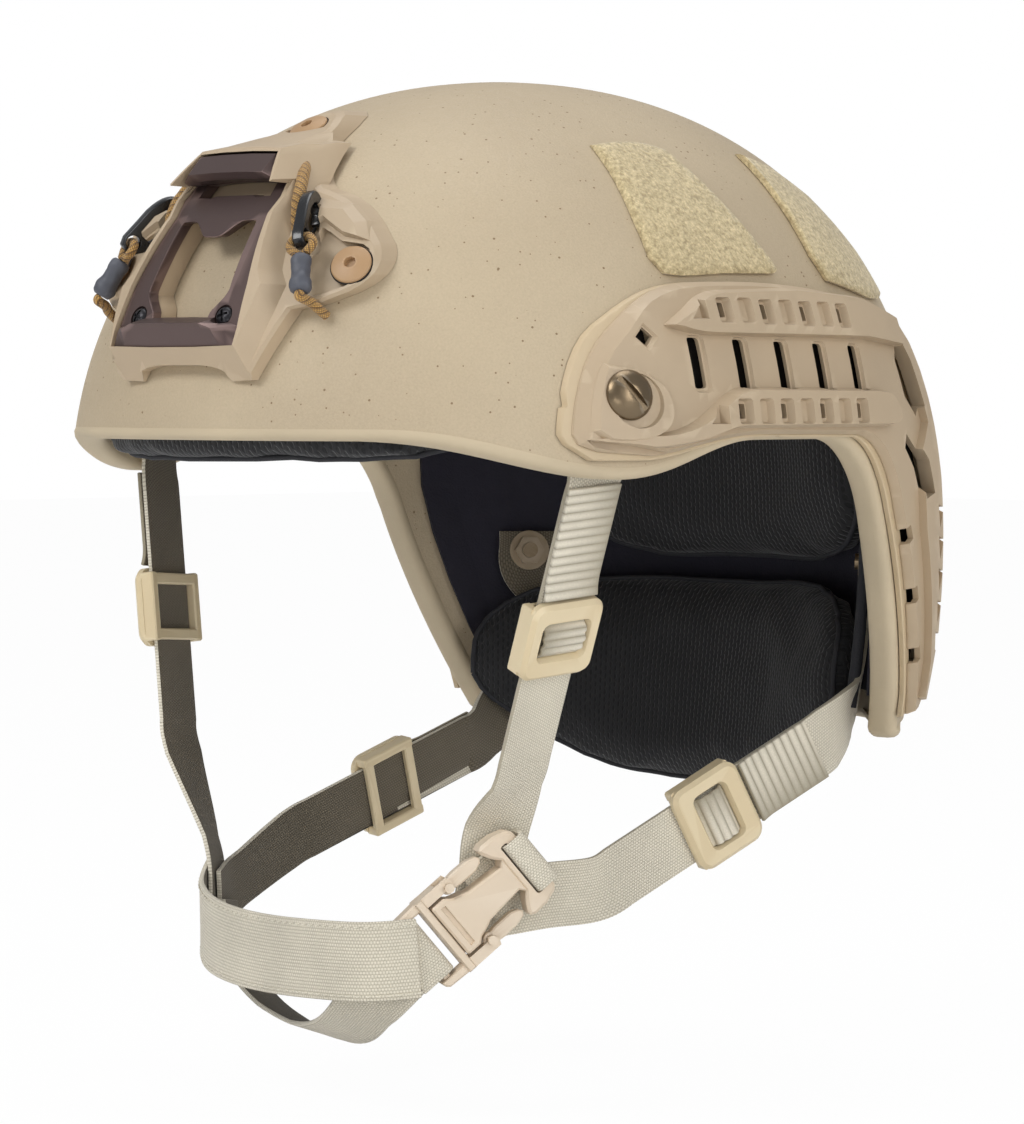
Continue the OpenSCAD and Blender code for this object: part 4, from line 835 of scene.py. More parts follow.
for i in range(5):
    y, drop = PITCH * i, 0.5 * i
    rims.append(plate("rim", [(RAIL_WEB - 0.9, pill(-34.7 + y, 22.6 - drop, 5.6, 16.2)),
                              (RAIL_WEB + 1, pill(-34.5 + y, 22.4 - drop, 7.4, 18))]))
    slots.append(prism(pill(-35 + y, 22.8 - drop, 4.6, 15), 0, 9))
cut(rail, join(*rims), join(*slots))
print("rail so far:", len(rail.data.polygons), "faces")

# %% Windows, notches and the bolt seat
windows = [[(63, 29.5), (60.5, 24), (63, 13), (69.5, 7), (72, 10), (66.5, 24)],
           [(61, 1), (59.5, -3), (65, -9), (69.5, -18.5), (76, -17), (71.5, -7), (64.5, -2)]]
windows += [[(58.5 + 6.6 * i, -28.5 - 19 * i), (60.5 + 6.6 * i, -33 - 19 * i), (64 + 6.6 * i, -31 - 19 * i),
             (62.2 + 6.6 * i, -27 - 19 * i)] for i in range(3)]
cut(rail, join(*[plate("window", [(0, w), (12, grown(w, 0.6))]) for w in windows]),
    plate("square_rim", [(RAIL_WEB - 0.8, diamond(*SQUARE_HOLE, 3.4)),
                         (RAIL_WEB + 1, diamond(*SQUARE_HOLE, 5.2))]),
    prism(diamond(*SQUARE_HOLE, 2.9), 0, 9))
notches = [[(80 + 0.9 * i, -21 - 10 * i), (82 + 0.9 * i, -28 - 10 * i), (85.4 + 0.7 * i, -22 - 10 * i)]
           for i in range(5)]
shelf = [(-74.5, 0.4), (-72, -1.6), (-46, -6.6), (-44.6, -4.2), (-60, -1.4)]
seat, bolt_hole = circle(*RAIL_BOLT, 8.1, 48), circle(*RAIL_BOLT, HOLE_R, 40)
cut(rail, join(*[plate("notch", [(7.2, n), (10, grown(n, 0.5))]) for n in notches]),
    plate("shelf", [(3.6, shelf), (9, grown(shelf, 0.6))]),
    plate("seat", [(7.0, seat), (10, grown(seat, 0.4))]), prism(bolt_hole, 0, 9))
bevel(rail, 0.4, 2)
slice_up(rail, 3.4, (-78, -88), (92, 48))
settle(wrap(rail, side_pt), "left_rail_moulding")
left_and_right(shade(rail, 42), "rail_moulding", RAIL, "rail", "rail_plastic")
print("rail:", len(rail.data.polygons), "faces")

# %% [markdown]
# ## Backing plates
# A thin, paler plate shows as a narrow lip in front of and below the rail, with a fine dark gap
# between the two. It is drawn flat and laid on the dome like the rail.

# %% Backing plates
line = rail_line(2.6)
backing = plate("backing", [(0.4, line), (2.0, line), (2.4, inset(line, 0.4))])
reliefs = [[(-44, 34), (-40, 8), (44, 9), (56, 12), (52, 34), (-30, 38)],
           [(62, 30), (57.5, -6), (60, -26), (67.5, -47), (76, -70), (84, -70), (82, -14), (70, 12)],
           pill(*SQUARE_HOLE, 9, 9), pill(-78.6, 12.4, 3.4, 5.2), pill(-4, -0.2, 5.4, 3), bolt_hole]
cut(backing, *[prism(relief, -1, 5) for relief in reliefs])
slice_up(backing, 3.6, (-80, -90), (92, 48))
settle(wrap(backing, side_pt), "left_backing_plate")
left_and_right(shade(backing, 40), "backing_plate", BACKING, "backing", "backing_plastic")
print("backing:", len(backing.data.polygons), "faces")

# %% Dark sheet of painted shade behind the rails
# A thin dark sheet on the paint behind each rail is painted shade, so that its slots and clip holes look
# black.
DARK_PAINTED_SHADE = moulded("dark_painted_shade", srgb(38, 32, 28), grain=700, rough=(0.8, 0.95), bump=0.5, drift=0.2)
main = [(-46, 36), (-42, 6), (44, 7), (50, 10), (57, 8), (56.5, -8), (59, -26), (66.5, -46), (75, -70),
        (88, -70), (86, -14), (74, 14), (56, 36), (-30, 40)]
shade_sheet = join(*[prism(sheet, 0.15, 0.38) for sheet in (main, pill(-50, 27, 16, 17, 0.4))])
slice_up(shade_sheet, 4, (-56, -70), (90, 42))
settle(wrap(shade_sheet, side_pt), "left_rail_shade_sheet")
left_and_right(shade(shade_sheet, 40), "rail_shade_sheet", DARK_PAINTED_SHADE, None, "backing_plastic")
print("shade_sheets: 2")

# %% [markdown]
# ## Loop patches
# Four patches of loop pile are glued to the crown, for things that stick on. They are thin slabs
# with a soft edge. The pile is a two-scale noise with dark specks between the loops and a sheen.

# %% Loop pile fabric
def loop_pile():
    mat, tree = new_material("loop_pile")
    where = object_place(tree)
    loops = add(tree, "ShaderNodeTexVoronoi", {"Vector": where, "Scale": 1150, "Randomness": 1.0})
    tufts = noise_at(tree, where, 640, 4, 0.7)
    tone = ramp(tree, tufts, (0.3, srgb(160, 140, 100)), (0.62, srgb(222, 203, 158)))
    drift = carried(tree, noise_at(tree, where, 60, 3), 0.86, 1.08)
    between = carried(tree, loops.outputs["Distance"], 1.05, 0.82, 0, 0.6)
    color = scaled(tree, tone, maths(tree, "MULTIPLY", drift, between))
    return surface(mat, color, 0.95, tufts, 0.6, 0.0008, {"Sheen Weight": 0.3})


PILE = loop_pile()
FRONT_PATCH = bez((-31, 88.5), (-20, 90.5), (-12, 91), (-4, 88), 8) + [(-4, 88), (14, 54)]
FRONT_PATCH += bez((15, 51.5), (14, 50), (12, 50), (8, 50), 5)
FRONT_PATCH += bez((-10, 49.8), (-22, 49), (-30, 48), (-36, 50), 8) + [(-36.5, 54), (-35.5, 66)]
REAR_PATCH = [(34, 88), (46, 85), (60, 76), (74, 58.5), (79, 47)]
REAR_PATCH += bez((79, 45), (77, 43.4), (70, 42.6), (60, 44), 6) + [(40, 48.4), (36.5, 56)]
for name, line in (("front_patch", FRONT_PATCH), ("rear_patch", REAR_PATCH)):
    patch = plate(name, [(0.2, line), (1.5, line), (2.0, inset(line, 0.7))])
    slice_up(patch, 4, *span(line))
    settle(wrap(patch, side_pt), "left_" + name + "_pile")
    left_and_right(shade(patch, 50), name + "_pile", PILE, name, "patch_fabric")
print("patches: 4")

# %% [markdown]
# ## Front shroud
# The shroud carries a night-vision bracket. Its base is one moulding with sloping flanks, a block at
# the bottom, a rim round the metal insert and an arm to each side bolt. It is stacked from plates in
# front view and laid on the brow, then the bores that follow the surface are cut.

# %% Shroud base, drawn flat
def both(line):
    return line + [(-a, b) for a, b in reversed(line)]


FOOT_CURVE = bez((18.4, 20.6), (15, 21.8), (11, 22.2), (4, 22.3), 5)
FOOT = [(29, 17.8), (20, 17.4), (19, 19)] + FOOT_CURVE
SHROUD = [(3, 100), (7, 98.4), (10, 95), (12, 90), (17, 86.5)]
SHROUD += bez((19, 83), (21, 79), (25, 75.5), (31, 73.4), 6)
SHROUD += bez((34, 73), (42, 70.5), (49, 65.5), (54, 60), 6)
SHROUD += bez((56.5, 57.5), (61.5, 51), (59, 45.5), (51, 42), 8)
SHROUD += [(46, 40), (38, 38.4)] + FOOT
FRAME_OUT = [(6, 91), (19.6, 89), (25.4, 77), (26.4, 72), (26, 66), (31, 50), (34.6, 45.6), (33.6, 38)] + FOOT
FRAME_TOP = [(6, 87.8), (18, 87), (23.4, 77), (24.2, 72), (23, 67.5), (27.8, 50.4), (31, 46), (29.8, 38)]
FRAME_TOP += [(27.8, 28), (27.4, 17.8), (20, 17.4), (19, 19)] + FOOT_CURVE
CREST = [(6, 89.4), (18, 88.4), (24, 77.4), (22, 76.2), (17.2, 85.7), (6, 86.1)]
CREST_TOP = [(6, 87.5), (17.8, 86.8), (22.9, 77), (22.2, 76.4), (17.3, 85.8), (6, 86.2)]
NECK, NECK_TOP = [(6, 95.5), (9, 94), (18, 87.5), (6, 86.5)], [(6, 88.6), (15, 88), (17, 87), (6, 86.5)]
INSERT = both([(6, 85.7), (16.8, 85.3), (21.4, 76.4), (22.5, 72), (21.3, 67), (25.8, 46), (27.1, 33),
               (27, 28.2), (10, 27.9)])
WINDOW = both([(6, 66), (17, 65.6), (18.4, 47), (18, 43), (14, 39), (12.4, 35.2), (6, 34.8)])
GUSSET = [(30.5, 71.8), (42.5, 69.6), (50, 64.4), (54, 58.6), (46.5, 59.8), (37, 64.6), (29, 60)]
GUSSET_TOP = [(31, 69), (42.6, 68), (48.6, 63.6), (51.5, 60), (46.4, 61.4), (37, 66.4), (30.4, 63)]
FIELD = [(37.6, 62.6), (46, 58.4), (52.6, 57.4)] + bez((55, 56), (59.6, 50.6), (57, 46.6), (50, 44), 7)
FIELD += [(45.6, 42.4), (39.6, 41.6), (36, 46)]
SLOPE = [(16.8, -131.4), (27.4, -138.2), (34.5, -141.3)]
CREASES, BAR_FOOT = [z for z, _ in SLOPE[1:]], 28.4


def front_slope(obj, behind=0):
    """Pushes what stands in front of the sloping faces of block and bar back onto them."""
    for v in obj.data.vertices:
        z = v.co.z / MM
        if z < SLOPE[-1][0] + 0.01:
            (z0, y0), (z1, y1) = SLOPE[:2] if z < SLOPE[1][0] else SLOPE[1:]
            face = y0 + (y1 - y0) * (z - z0) / (z1 - z0)
            v.co.y = max(v.co.y, (face + behind * (z < BAR_FOOT)) * MM)
    obj.data.update()
    return obj


base = plate("shroud", [(0.2, both(SHROUD)), (4.4, both(SHROUD)), (5.4, inset(both(SHROUD), 0.9))])
fuse(base, plate("frame", [(2, both(FRAME_OUT)), (5.4, both(FRAME_OUT)), (11, both(FRAME_TOP))]),
     plate("crest", [(4, both(CREST)), (12, both(CREST)), (16.6, both(CREST_TOP))]),
     plate("neck", [(4, both(NECK)), (13.4, both(NECK_TOP))]))
for s in (1, -1):
    low, top, hollow = ([(s * a, b) for a, b in line] for line in (GUSSET, GUSSET_TOP, FIELD))
    fuse(base, plate("gusset", [(4, low), (5.5, low), (7.2, top)]))
    cut(base, plate("field", [(3.4, inset(hollow, 0.5)), (9, grown(hollow, 1.4))]))
cut(base, plate("bed", [(5.8, grown(INSERT, 0.3)), (30, grown(INSERT, 0.5))]), prism(WINDOW, -1, 20))
bevel(base, 0.5, 2, 24)
slice_up(base, 4, (-60, 16), (60, 105))
front_slope(wrap(score(base, 1, CREASES), brow_pt))
print("shroud base:", len(base.data.polygons), "faces")

# %% Bores in the shroud base
DISC_SEAT, DISC_D = 4.7, 12.5


def frame_of(u, v, n, p):
    """The place of a small frame with the axes u, v and n and its origin at p."""
    return Matrix([(u[i], v[i], n[i], p[i]) for i in range(3)] + [(0, 0, 0, 1)])


def stand(p, n, up=(0, 0, 1)):
    """The place of a small frame whose z runs along n and whose y leans towards up."""
    n, up = Vector(n).normalized(), Vector(up)
    v = (up - n * up.dot(n)).normalized()
    return frame_of(v.cross(n), v, n, p)


HOOK_N = brow_n(35, 66)
EYE = brow_pt(38, 59.5, 10.4)
HOOK_UP = (brow_pt(30, 76, 10.4) - EYE).normalized()
HOOK_FRAME = stand(EYE + HOOK_UP * 7.2 + HOOK_N * 1.2, HOOK_N, HOOK_UP)
FERRULE_END, TAIL_IN = brow_pt(44.8, 43.4, 10.2), brow_pt(47, 38.8, 5)
TAIL_DIR = Vector((0.1, 0.8, -0.55)).normalized()
TAIL_HOLE = stand(TAIL_IN + TAIL_DIR * 2, TAIL_DIR)
SEATS = [on_brow(*SHROUD_SIDE), on_brow(*SHROUD_SIDE, -1), on_brow(*SHROUD_TOP)]


def set_in(obj, frame_matrix):
    """Moves a piece that was drawn round the origin in mm into a frame."""
    for v in obj.data.vertices:
        v.co = (frame_matrix @ (v.co / MM)) * MM
    obj.data.update()
    return obj


def mirror_tool(tool, s):
    if s < 0:
        tool.data.transform(Matrix.Scale(-1, 4, (1, 0, 0)))
        tool.data.flip_normals()
    return tool


for p, n in SEATS:
    cut(base, bore(p, n, HOLE_R, 40, -20), bore(p, n, DISC_D / 2 + 0.5, 9, DISC_SEAT))
for s in (1, -1):
    cut(base, mirror_tool(set_in(prism(pill(0, 0.4, 5.4, 16.4, 0.25), -10.6, 11.4), HOOK_FRAME), s),
        mirror_tool(set_in(prism(pill(0, 0, 4.4, 4.4, 1), -7, 7), TAIL_HOLE), s))
settle(base, "shroud_moulding")
dress(shade(base, 38), RAIL, "shroud_base", slot="rail_plastic")
print("shroud base:", len(base.data.polygons), "faces")

# %% Metal of the insert
def anodised(name, color, worn_and_highlight, rough=(0.34, 0.5), metallic=0.75):
    """Machined and anodised aluminium: satin, with faint tool marks and paler sharp edges, partly rubbed wear
    and partly painted highlight.
    """
    mat, tree = new_material(name)
    where = object_place(tree)
    grain, wide = noise_at(tree, where, 1100, 2), noise_at(tree, where, 40, 4)
    sharp = carried(tree, add(tree, "ShaderNodeNewGeometry").outputs["Pointiness"], 0, 0.4, 0.54, 0.64)
    # Sharp edges take the paler colour: partly rubbed wear, partly a painted highlight where edges catch the
    # light.
    rubbed_and_highlit = mixed_color(tree, maths(tree, "MULTIPLY", sharp, wide), color, worn_and_highlight)
    return surface(mat, rubbed_and_highlit, carried(tree, wide, *rough), grain, 0.12, 0.0002, {"Metallic": metallic})


# The second colour is for the sharp edges: rubbed wear and painted highlight.
BRONZE = anodised("dark_bronze_metal", srgb(96, 80, 77), srgb(206, 176, 168))
print("metal:", BRONZE.name)

# %% [markdown]
# ## Metal insert
# The insert is milled from one piece: a hooked lip on top, a slot under it, a bridge with a V-shaped
# tab, two side strips and a wedge-shaped bar at the bottom. The plate is straight from side to side,
# so its upper layers bend less over the brow than the plastic does.

# %% Insert
LOW, FACE = 6.1, 9.0
SCREW_FACE = FACE - 0.5
opening = [(1, 65.4), (16.0, 65), (16.6, 64.2), (17.6, 47)]
opening += bez((17.8, 44.6), (17.4, 43), (16.4, 41.4), (14.4, 40), 4) + [(12.8, 38), (12, 34.8), (1, 34.6)]
opening = both(opening)
tab = [(8, 68), (13.4, 67.4), (12.6, 65.2)] + bez((10.6, 65.0), (9.4, 64.8), (8.6, 64.2), (5.4, 61.6), 5)
tab = both(tab + bez((5.4, 61.6), (4.2, 60.6), (3.0, 60.3), (1.2, 60.2), 4))
lip_low = both([(6, 85.8), (17, 85.4), (21.4, 76.4), (6, 77.2)])
lip_mid = both([(6, 85.8), (17, 85.4), (20.6, 77.2), (6, 77.8)])
lip_top = both([(6, 85.4), (16.6, 85), (16.6, 79.4), (6, 79.8)])
bar_low = both([(6, 36.4), (16.4, 36.2), (26.4, 33.6), (27, 28.2), (10, 27.9)])
bar_top = both([(6, 34.7), (15.2, 34.6), (20, 33), (22, 24), (10, 24)])
slot_line = both([(4, 77), (15.4, 76.4), (16, 72.6), (10, 72.4), (8.4, 73), (4, 73)])
insert = plate("insert", [(LOW, INSERT), (FACE - 0.4, INSERT), (FACE, inset(INSERT, 0.4))])
cut(insert, plate("opening", [(0, opening), (FACE - 0.5, opening), (20, grown(opening, 5))]))
fuse(insert, plate("tab", [(LOW, tab), (FACE - 0.3, tab), (FACE, inset(tab, 0.3))]),
     plate("lip", [(LOW, lip_low), (FACE + 2, lip_low), (FACE + 4.4, lip_mid), (FACE + 7.2, lip_top)]),
     plate("bar", [(LOW, bar_low), (FACE, bar_low), (FACE + 5.6, bar_top)]))
cut(insert, plate("slot", [(0, slot_line), (FACE - 0.3, slot_line), (11, grown(slot_line, 0.8)),
                           (13, inset(slot_line, 0.8))]))
bevel(insert, 0.3, 2, 24)
slice_up(insert, 4, (-28, 24), (28, 88))
score(insert, 1, CREASES)


def flat_brow_pt(x, z, g):
    """Like brow_pt, but the metal plate is straighter from side to side where it stands proud."""
    curved, straight = brow_pt(x, z, g), brow_pt(0, z, g)
    share = 0.55 * min(1, max(0, (g - LOW) / 3))
    return Vector((x, curved.y + (straight.y - curved.y) * share, z))


front_slope(wrap(insert, flat_brow_pt), 0.4)
for s in (1, -1):
    p, n = on_brow(*SCREW, s)
    cut(insert, bore(p, n, 1.7, 60), bore(p, n, 3.5, 12, SCREW_FACE))
settle(insert, "shroud_insert_metal")
dress(shade(insert, 30), BRONZE, "shroud_insert", slot="insert_metal")
print("insert:", len(insert.data.polygons), "faces")

# %% [markdown]
# ## Webbing cloth
# Harness webbing is a thick flat weave: rows of little pillows, each shifted by half against the
# next column, with dark gaps between the threads. Every strap carries a UV map in millimetres, so
# the same threads run along each strap at the same size and turn with it.

# %% Webbing materials
def pillows(tree, u, v):
    """Small rounded bumps, one to each whole step of u and of v."""
    waves = []
    for value in (u, v):
        waves.append(maths(tree, "SINE", maths(tree, "MULTIPLY", maths(tree, "FRACT", value), math.pi)))
    return maths(tree, "MULTIPLY", *waves)


def woven(name, thread, gap, across=0.85, along=0.95, strength=0.4, mix=0.5):
    """A flat weave; a thread is across by along mm, and mix shifts every second column."""
    mat, tree = new_material(name)
    axes = add(tree, "ShaderNodeSeparateXYZ", {"Vector": add(tree, "ShaderNodeUVMap").outputs[0]})
    u = maths(tree, "DIVIDE", axes.outputs[0], across)
    v = maths(tree, "DIVIDE", axes.outputs[1], along)
    step = maths(tree, "MULTIPLY", maths(tree, "MODULO", maths(tree, "FLOOR", u), 2.0), mix)
    height = maths(tree, "POWER", pillows(tree, u, maths(tree, "ADD", v, step)), 0.6)
    where = object_place(tree)
    fuzz, wide = noise_at(tree, where, 2600, 2), noise_at(tree, where, 45, 3)
    tone = carried(tree, maths(tree, "ADD", fuzz, wide), 0.88, 1.1, 0.7, 1.3)
    toned = scaled(tree, mixed_color(tree, height, gap, thread), tone)
    return surface(mat, toned, 0.82, height, strength, 0.0005, {"Sheen Weight": 0.15})


WEB = woven("harness_webbing", srgb(226, 219, 202), srgb(176, 167, 147))
# The inside faces of the straps get this darker copy of the same webbing: painted shade.
WEB_SHADED_SIDE = woven("harness_webbing_painted_shade", srgb(120, 110, 92), srgb(66, 59, 46))
WEB_RIBBED = woven("ribbed_webbing", srgb(218, 210, 192), srgb(150, 141, 120), across=40, along=2.9,
                   strength=0.6, mix=0)
THREAD = woven("sewing_thread", srgb(236, 230, 214), srgb(196, 188, 166), across=0.4, along=0.5)
print("webbing materials: 4")

# %% Paths of the harness
WEB_W, WEB_T, CHIN_W = 20, 1.5, 24
BUCKLE_O, TURN, TILT = Vector((42, -68, -150)), math.radians(60), math.radians(40)
AXIS_A = Vector((math.cos(TILT) * math.cos(TURN), math.cos(TILT) * math.sin(TURN), math.sin(TILT)))
AXIS_N = Vector((math.sin(TURN), -math.cos(TURN), 0))
AXIS_W = AXIS_N.cross(AXIS_A)
JOIN, JOIN_OUT = Vector((-71, -58, -146)), unit((-0.8, -0.6, 0))
JOIN_ALONG = JOIN_OUT.cross(Vector((0, 0, 1)))
BAND_SEAT, BAND_T = 0.75, 2.2
STRAP_LIFT, NAPE_LIFT = 1.6, BAND_SEAT + BAND_T + 3


def in_buckle(x, y, z):
    return BUCKLE_O + AXIS_A * x + AXIS_W * y + AXIS_N * z


def in_join(a, b, n):
    return JOIN + JOIN_ALONG * a + Vector((0, 0, b)) + JOIN_OUT * n


def run_normal(run, n):
    d = unit(run[1] - run[0])
    return unit(Vector(n) - d * Vector(n).dot(d))


def spread(keys, n):
    """One normal for each of n points, from a few key normals."""
    out, m = [], len(keys) - 1
    for i in range(n):
        f = min(0.9999, i / (n - 1)) * m
        k = int(f)
        out.append(unit(Vector(keys[k]).lerp(Vector(keys[k + 1]), f - k)))
    return out


RUNS = {"left_front": [Vector((94, -58.5, -19)), Vector((58.5, -48.8, -97))],
        "left_rear": [Vector((80, 55, -99)), Vector((58.5, -8, -135))],
        "right_front": [Vector((-94.6, -60.5, -19)), Vector((-85, -62, -91))],
        "right_rear": [Vector((-77, 60, -105)), Vector((-80, -10, -129))]}
FACING = {"left_front": (1, -0.08, 0), "left_rear": (1, -0.05, 0.1), "right_front": (-1, -0.3, 0),
          "right_rear": (-1, 0, 0.12)}
LEFT_FRONT_END = [(34, 11, -8.6), (27, 4, -8.15), (20, -2, -8.15), (13, -8, -8.15)]
LEFT_REAR_END = [(36, -16, -10.2), (28, -11, -9.95), (20, -6, -9.95), (12, -1, -9.95)]
RIGHT_FRONT_END = [(0, 16, 1), (0, 4, 0.1), (0, -7, 0)]
RIGHT_REAR_END = [(14, 2.5, -4), (4, 0, -2.5), (-6, -2, -2.2)]
ENDS = {"left_front": ([in_buckle(*p) for p in LEFT_FRONT_END], AXIS_N),
        "left_rear": ([in_buckle(*p) for p in LEFT_REAR_END], AXIS_N),
        "right_front": ([in_join(*p) for p in RIGHT_FRONT_END], JOIN_OUT),
        "right_rear": ([in_join(*p) for p in RIGHT_REAR_END], JOIN_OUT)}
FINE = 6


def hole_points(bolt, ups, h, s):
    n = side_n(*bolt)
    v = unit(Vector((0, 0, 1)) - n * n.z)
    return [mirrored_vector(side_pt(*bolt) + n * h + v * a, s) for a in ups]


def relax(path, times=10):
    """Evens out the bends of a path; its two ends and their neighbours stay where they are."""
    path = [p.copy() for p in path]
    for _ in range(times):
        path[2:-2] = [p.lerp((a + b) / 2, 0.5) for a, p, b in zip(path[1:-3], path[2:-2], path[3:-1])]
    return path


def strap_path(key):
    """Points and outward normals of a side strap, from its bolt to its sewn end."""
    s, run = (1 if "left" in key else -1), RUNS[key]
    n, d = run_normal(run, FACING[key]), unit(run[1] - run[0])
    if "front" in key:
        lift = -WALL - STRAP_LIFT - WEB_T / 2
        start = hole_points(RAIL_BOLT, (9, 0, -12), lift, s) + [run[0] - d * 6, run[0]]
        normals = [mirrored_vector(side_n(*RAIL_BOLT), s)] * 3 + [n, n]
    else:
        lift, spots = -WALL - NAPE_LIFT - WEB_T / 2, [(97.5, -58), (92.5, -72), (84, -86)]
        start = hole_points(NAPE_BOLT, (6.5, 0, -7), lift, s)
        start += [mirrored_vector(side_pt(y, z, lift), s) for y, z in spots] + [run[0] - d * 7, run[0]]
        normals = [mirrored_vector(side_n(*NAPE_BOLT), s)] * 3
        normals += [mirrored_vector(side_n(y, z, lift), s) for y, z in spots] + [n, n]
    end, facing = ENDS[key]
    first = relax(smooth(start, FINE))
    last = relax(smooth([run[1], run[1] + d * 8] + end, FINE))
    return first + last, spread(normals, len(first)) + spread([n, n] + [facing] * len(end), len(last))


print("strap paths:", [len(strap_path(k)[0]) for k in RUNS])

# %% Straps as flat webbing
def ribbon(name, path, normals, width, thickness, mats, columns=8):
    """A grid bent along the path, then given its thickness; its UV map is in millimetres."""
    bpy.ops.mesh.primitive_grid_add(x_subdivisions=columns, y_subdivisions=len(path) - 1, size=1,
                                    calc_uvs=True)
    obj = bpy.context.object
    for k, vert in enumerate(obj.data.vertices):
        row, col = divmod(k, columns + 1)
        side = unit(normals[row].cross(heading(path, row)))
        vert.co = (path[row] + side * (col / columns - 0.5) * width) * MM
    length = distances(path)
    layer = obj.data.uv_layers[0].data
    for loop in obj.data.loops:
        row, col = divmod(loop.vertex_index, columns + 1)
        layer[loop.index].uv = ((col / columns) * WEB_W, length[row])
    for mat in mats:
        obj.data.materials.append(mat)
    apply_modifier(obj, "SOLIDIFY", thickness=thickness * MM, offset=0, material_offset=len(mats) - 1,
                   material_offset_rim=len(mats) - 1)
    only(obj)
    bpy.ops.object.mode_set(mode="EDIT")
    bpy.ops.mesh.select_all(action="SELECT")
    bpy.ops.mesh.normals_make_consistent(inside=False)
    bpy.ops.object.mode_set(mode="OBJECT")
    bevel(obj, 0.35, 2, 60)
    settle(obj, name)
    return shade(obj, 50)


for key in RUNS:
    path, normals = strap_path(key)
    # The inside face of each strap gets the darker copy: painted shade.
    strap = ribbon(key + "_webbing", path, normals, WEB_W, WEB_T, [WEB_SHADED_SIDE, WEB])
    place_piece(strap, key + "_strap", slot="webbing_fabric")
    print(strap.name, len(strap.data.polygons), "faces")

# %% [markdown]
# ## Doubled webbing over the sliders
# The free end of each strap comes back up through its slider and lies on the outside of the strap.
# It is a second, ribbed layer, from the slider back along the strap.

# %% Doubled layers
DOUBLED = {"left_front": (29.5, -7), "left_rear": (24.4, -3), "right_front": (22.8, -7),
           "right_rear": (23.4, -4)}
DOUBLED_LIFT, DOUBLED_STEPS = 1.62, 26


def doubled(key, near, far):
    """The second layer from the slider (near) back along the strap (far), in mm from the run's start."""
    run = RUNS[key]
    d, n = unit(run[1] - run[0]), run_normal(run, FACING[key])
    path = []
    for i in range(DOUBLED_STEPS + 1):
        f = i / DOUBLED_STEPS
        rise = DOUBLED_LIFT + 1.3 * max(0, 1 - f * 5) ** 2
        path.append(run[0] + d * (near + (far - near) * f) + n * rise)
    # The underside of the doubled layer gets the darker copy: painted shade.
    obj = ribbon(key + "_doubled_end", path, [n] * len(path), WEB_W + 0.4, 1.3, [WEB_SHADED_SIDE, WEB_RIBBED],
                 columns=6)
    return obj, run[0] + d * near + n * DOUBLED_LIFT, run[0] + d * far + n * DOUBLED_LIFT


for key, (near, far) in DOUBLED.items():
    layer, a, b = doubled(key, near, far)
    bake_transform(layer)
print("doubled ends: 4")

# %% [markdown]
# ## Sliders
# A slider is a small moulded frame: two side walls and a bar at each end, with a window through
# which the webbing is pulled up into a fold. It is drawn flat as stacked plates, rounded with a
# bevel, and then set on its strap. Each of the four is its own copy.

# %% Sliders
SLIDER_L, SLIDER_W, CHANNEL = 25, 28, 2.4
CREAM = moulded("cream_nylon", srgb(213, 194, 157), grain=700, rough=(0.34, 0.5), bump=0.1, drift=0.03,
                edge=srgb(230, 216, 184))
BUCKLE_TAN = moulded("pale_buckle_nylon", srgb(216, 198, 174), grain=700, rough=(0.36, 0.52), bump=0.1,
                     drift=0.03, edge=srgb(232, 218, 198))


def slider_form():
    low, high = -CHANNEL / 2 - 1.8, CHANNEL / 2
    outline = pill(0, 0, SLIDER_L, SLIDER_W, 0.36, 6)
    form = plate("slider", [(high, outline), (high + 1.9, outline), (high + 3.2, inset(outline, 1.3))])
    for b in (-1, 1):
        wall = pill(0, b * 12.2, SLIDER_L - 3, 3.2, 0.5)
        fuse(form, plate("wall", [(low, inset(wall, 0.4)), (low + 0.5, wall), (high + 0.5, wall)]))
    for a in (-1, 1):
        bar = pill(a * (SLIDER_L / 2 - 3.6), 0, 3.6, SLIDER_W - 2, 0.5)
        fuse(form, plate("bar", [(low, inset(bar, 0.5)), (low + 0.5, bar), (low + 1.8, bar)]))
    hole = pill(0, 0, 11.5, 17.5, 0.3)
    cut(form, plate("hole", [(high - 1, hole), (high + 1.6, hole), (high + 5, grown(hole, 1.9))]))
    return bevel(form, 0.45, 3, 35)


def mid_run(key):
    """The frame in the middle of a straight run: along it, across it and away from the head."""
    run = RUNS[key]
    n, d = run_normal(run, FACING[key]), unit(run[1] - run[0])
    return frame_of(d, n.cross(d), n, run[0].lerp(run[1], 0.5))


first_slider = slider_form()
for key in RUNS:
    slider = set_in(duplicate(first_slider, key + "_slider_frame"), mid_run(key))
    dress(shade(slider, 40), CREAM, key + "_slider", body=key + "_adjuster", slot="adjuster_plastic")
bpy.data.objects.remove(first_slider)
print("sliders: 4")

# %% Folds of webbing in the slider windows
FOLD_STEPS, FOLD_HALF = 40, 5.5


def fold(key):
    run = RUNS[key]
    n, d = run_normal(run, FACING[key]), unit(run[1] - run[0])
    middle, path = run[0].lerp(run[1], 0.5), []
    for i in range(FOLD_STEPS + 1):
        f = 2 * i / FOLD_STEPS - 1
        rise = CHANNEL / 2 + 0.7 + 2.2 * (1 - abs(f) ** 2.6) + 0.38 * math.cos(f * 11)
        path.append(middle + d * f * FOLD_HALF + n * rise)
    return ribbon(key + "_fold", path, [n] * len(path), 16.4, 0.9, [WEB_RIBBED], columns=6)


for key in RUNS:
    place_piece(fold(key), key + "_bight", body=key + "_adjuster", slot="webbing_fabric")
print("folds: 4")

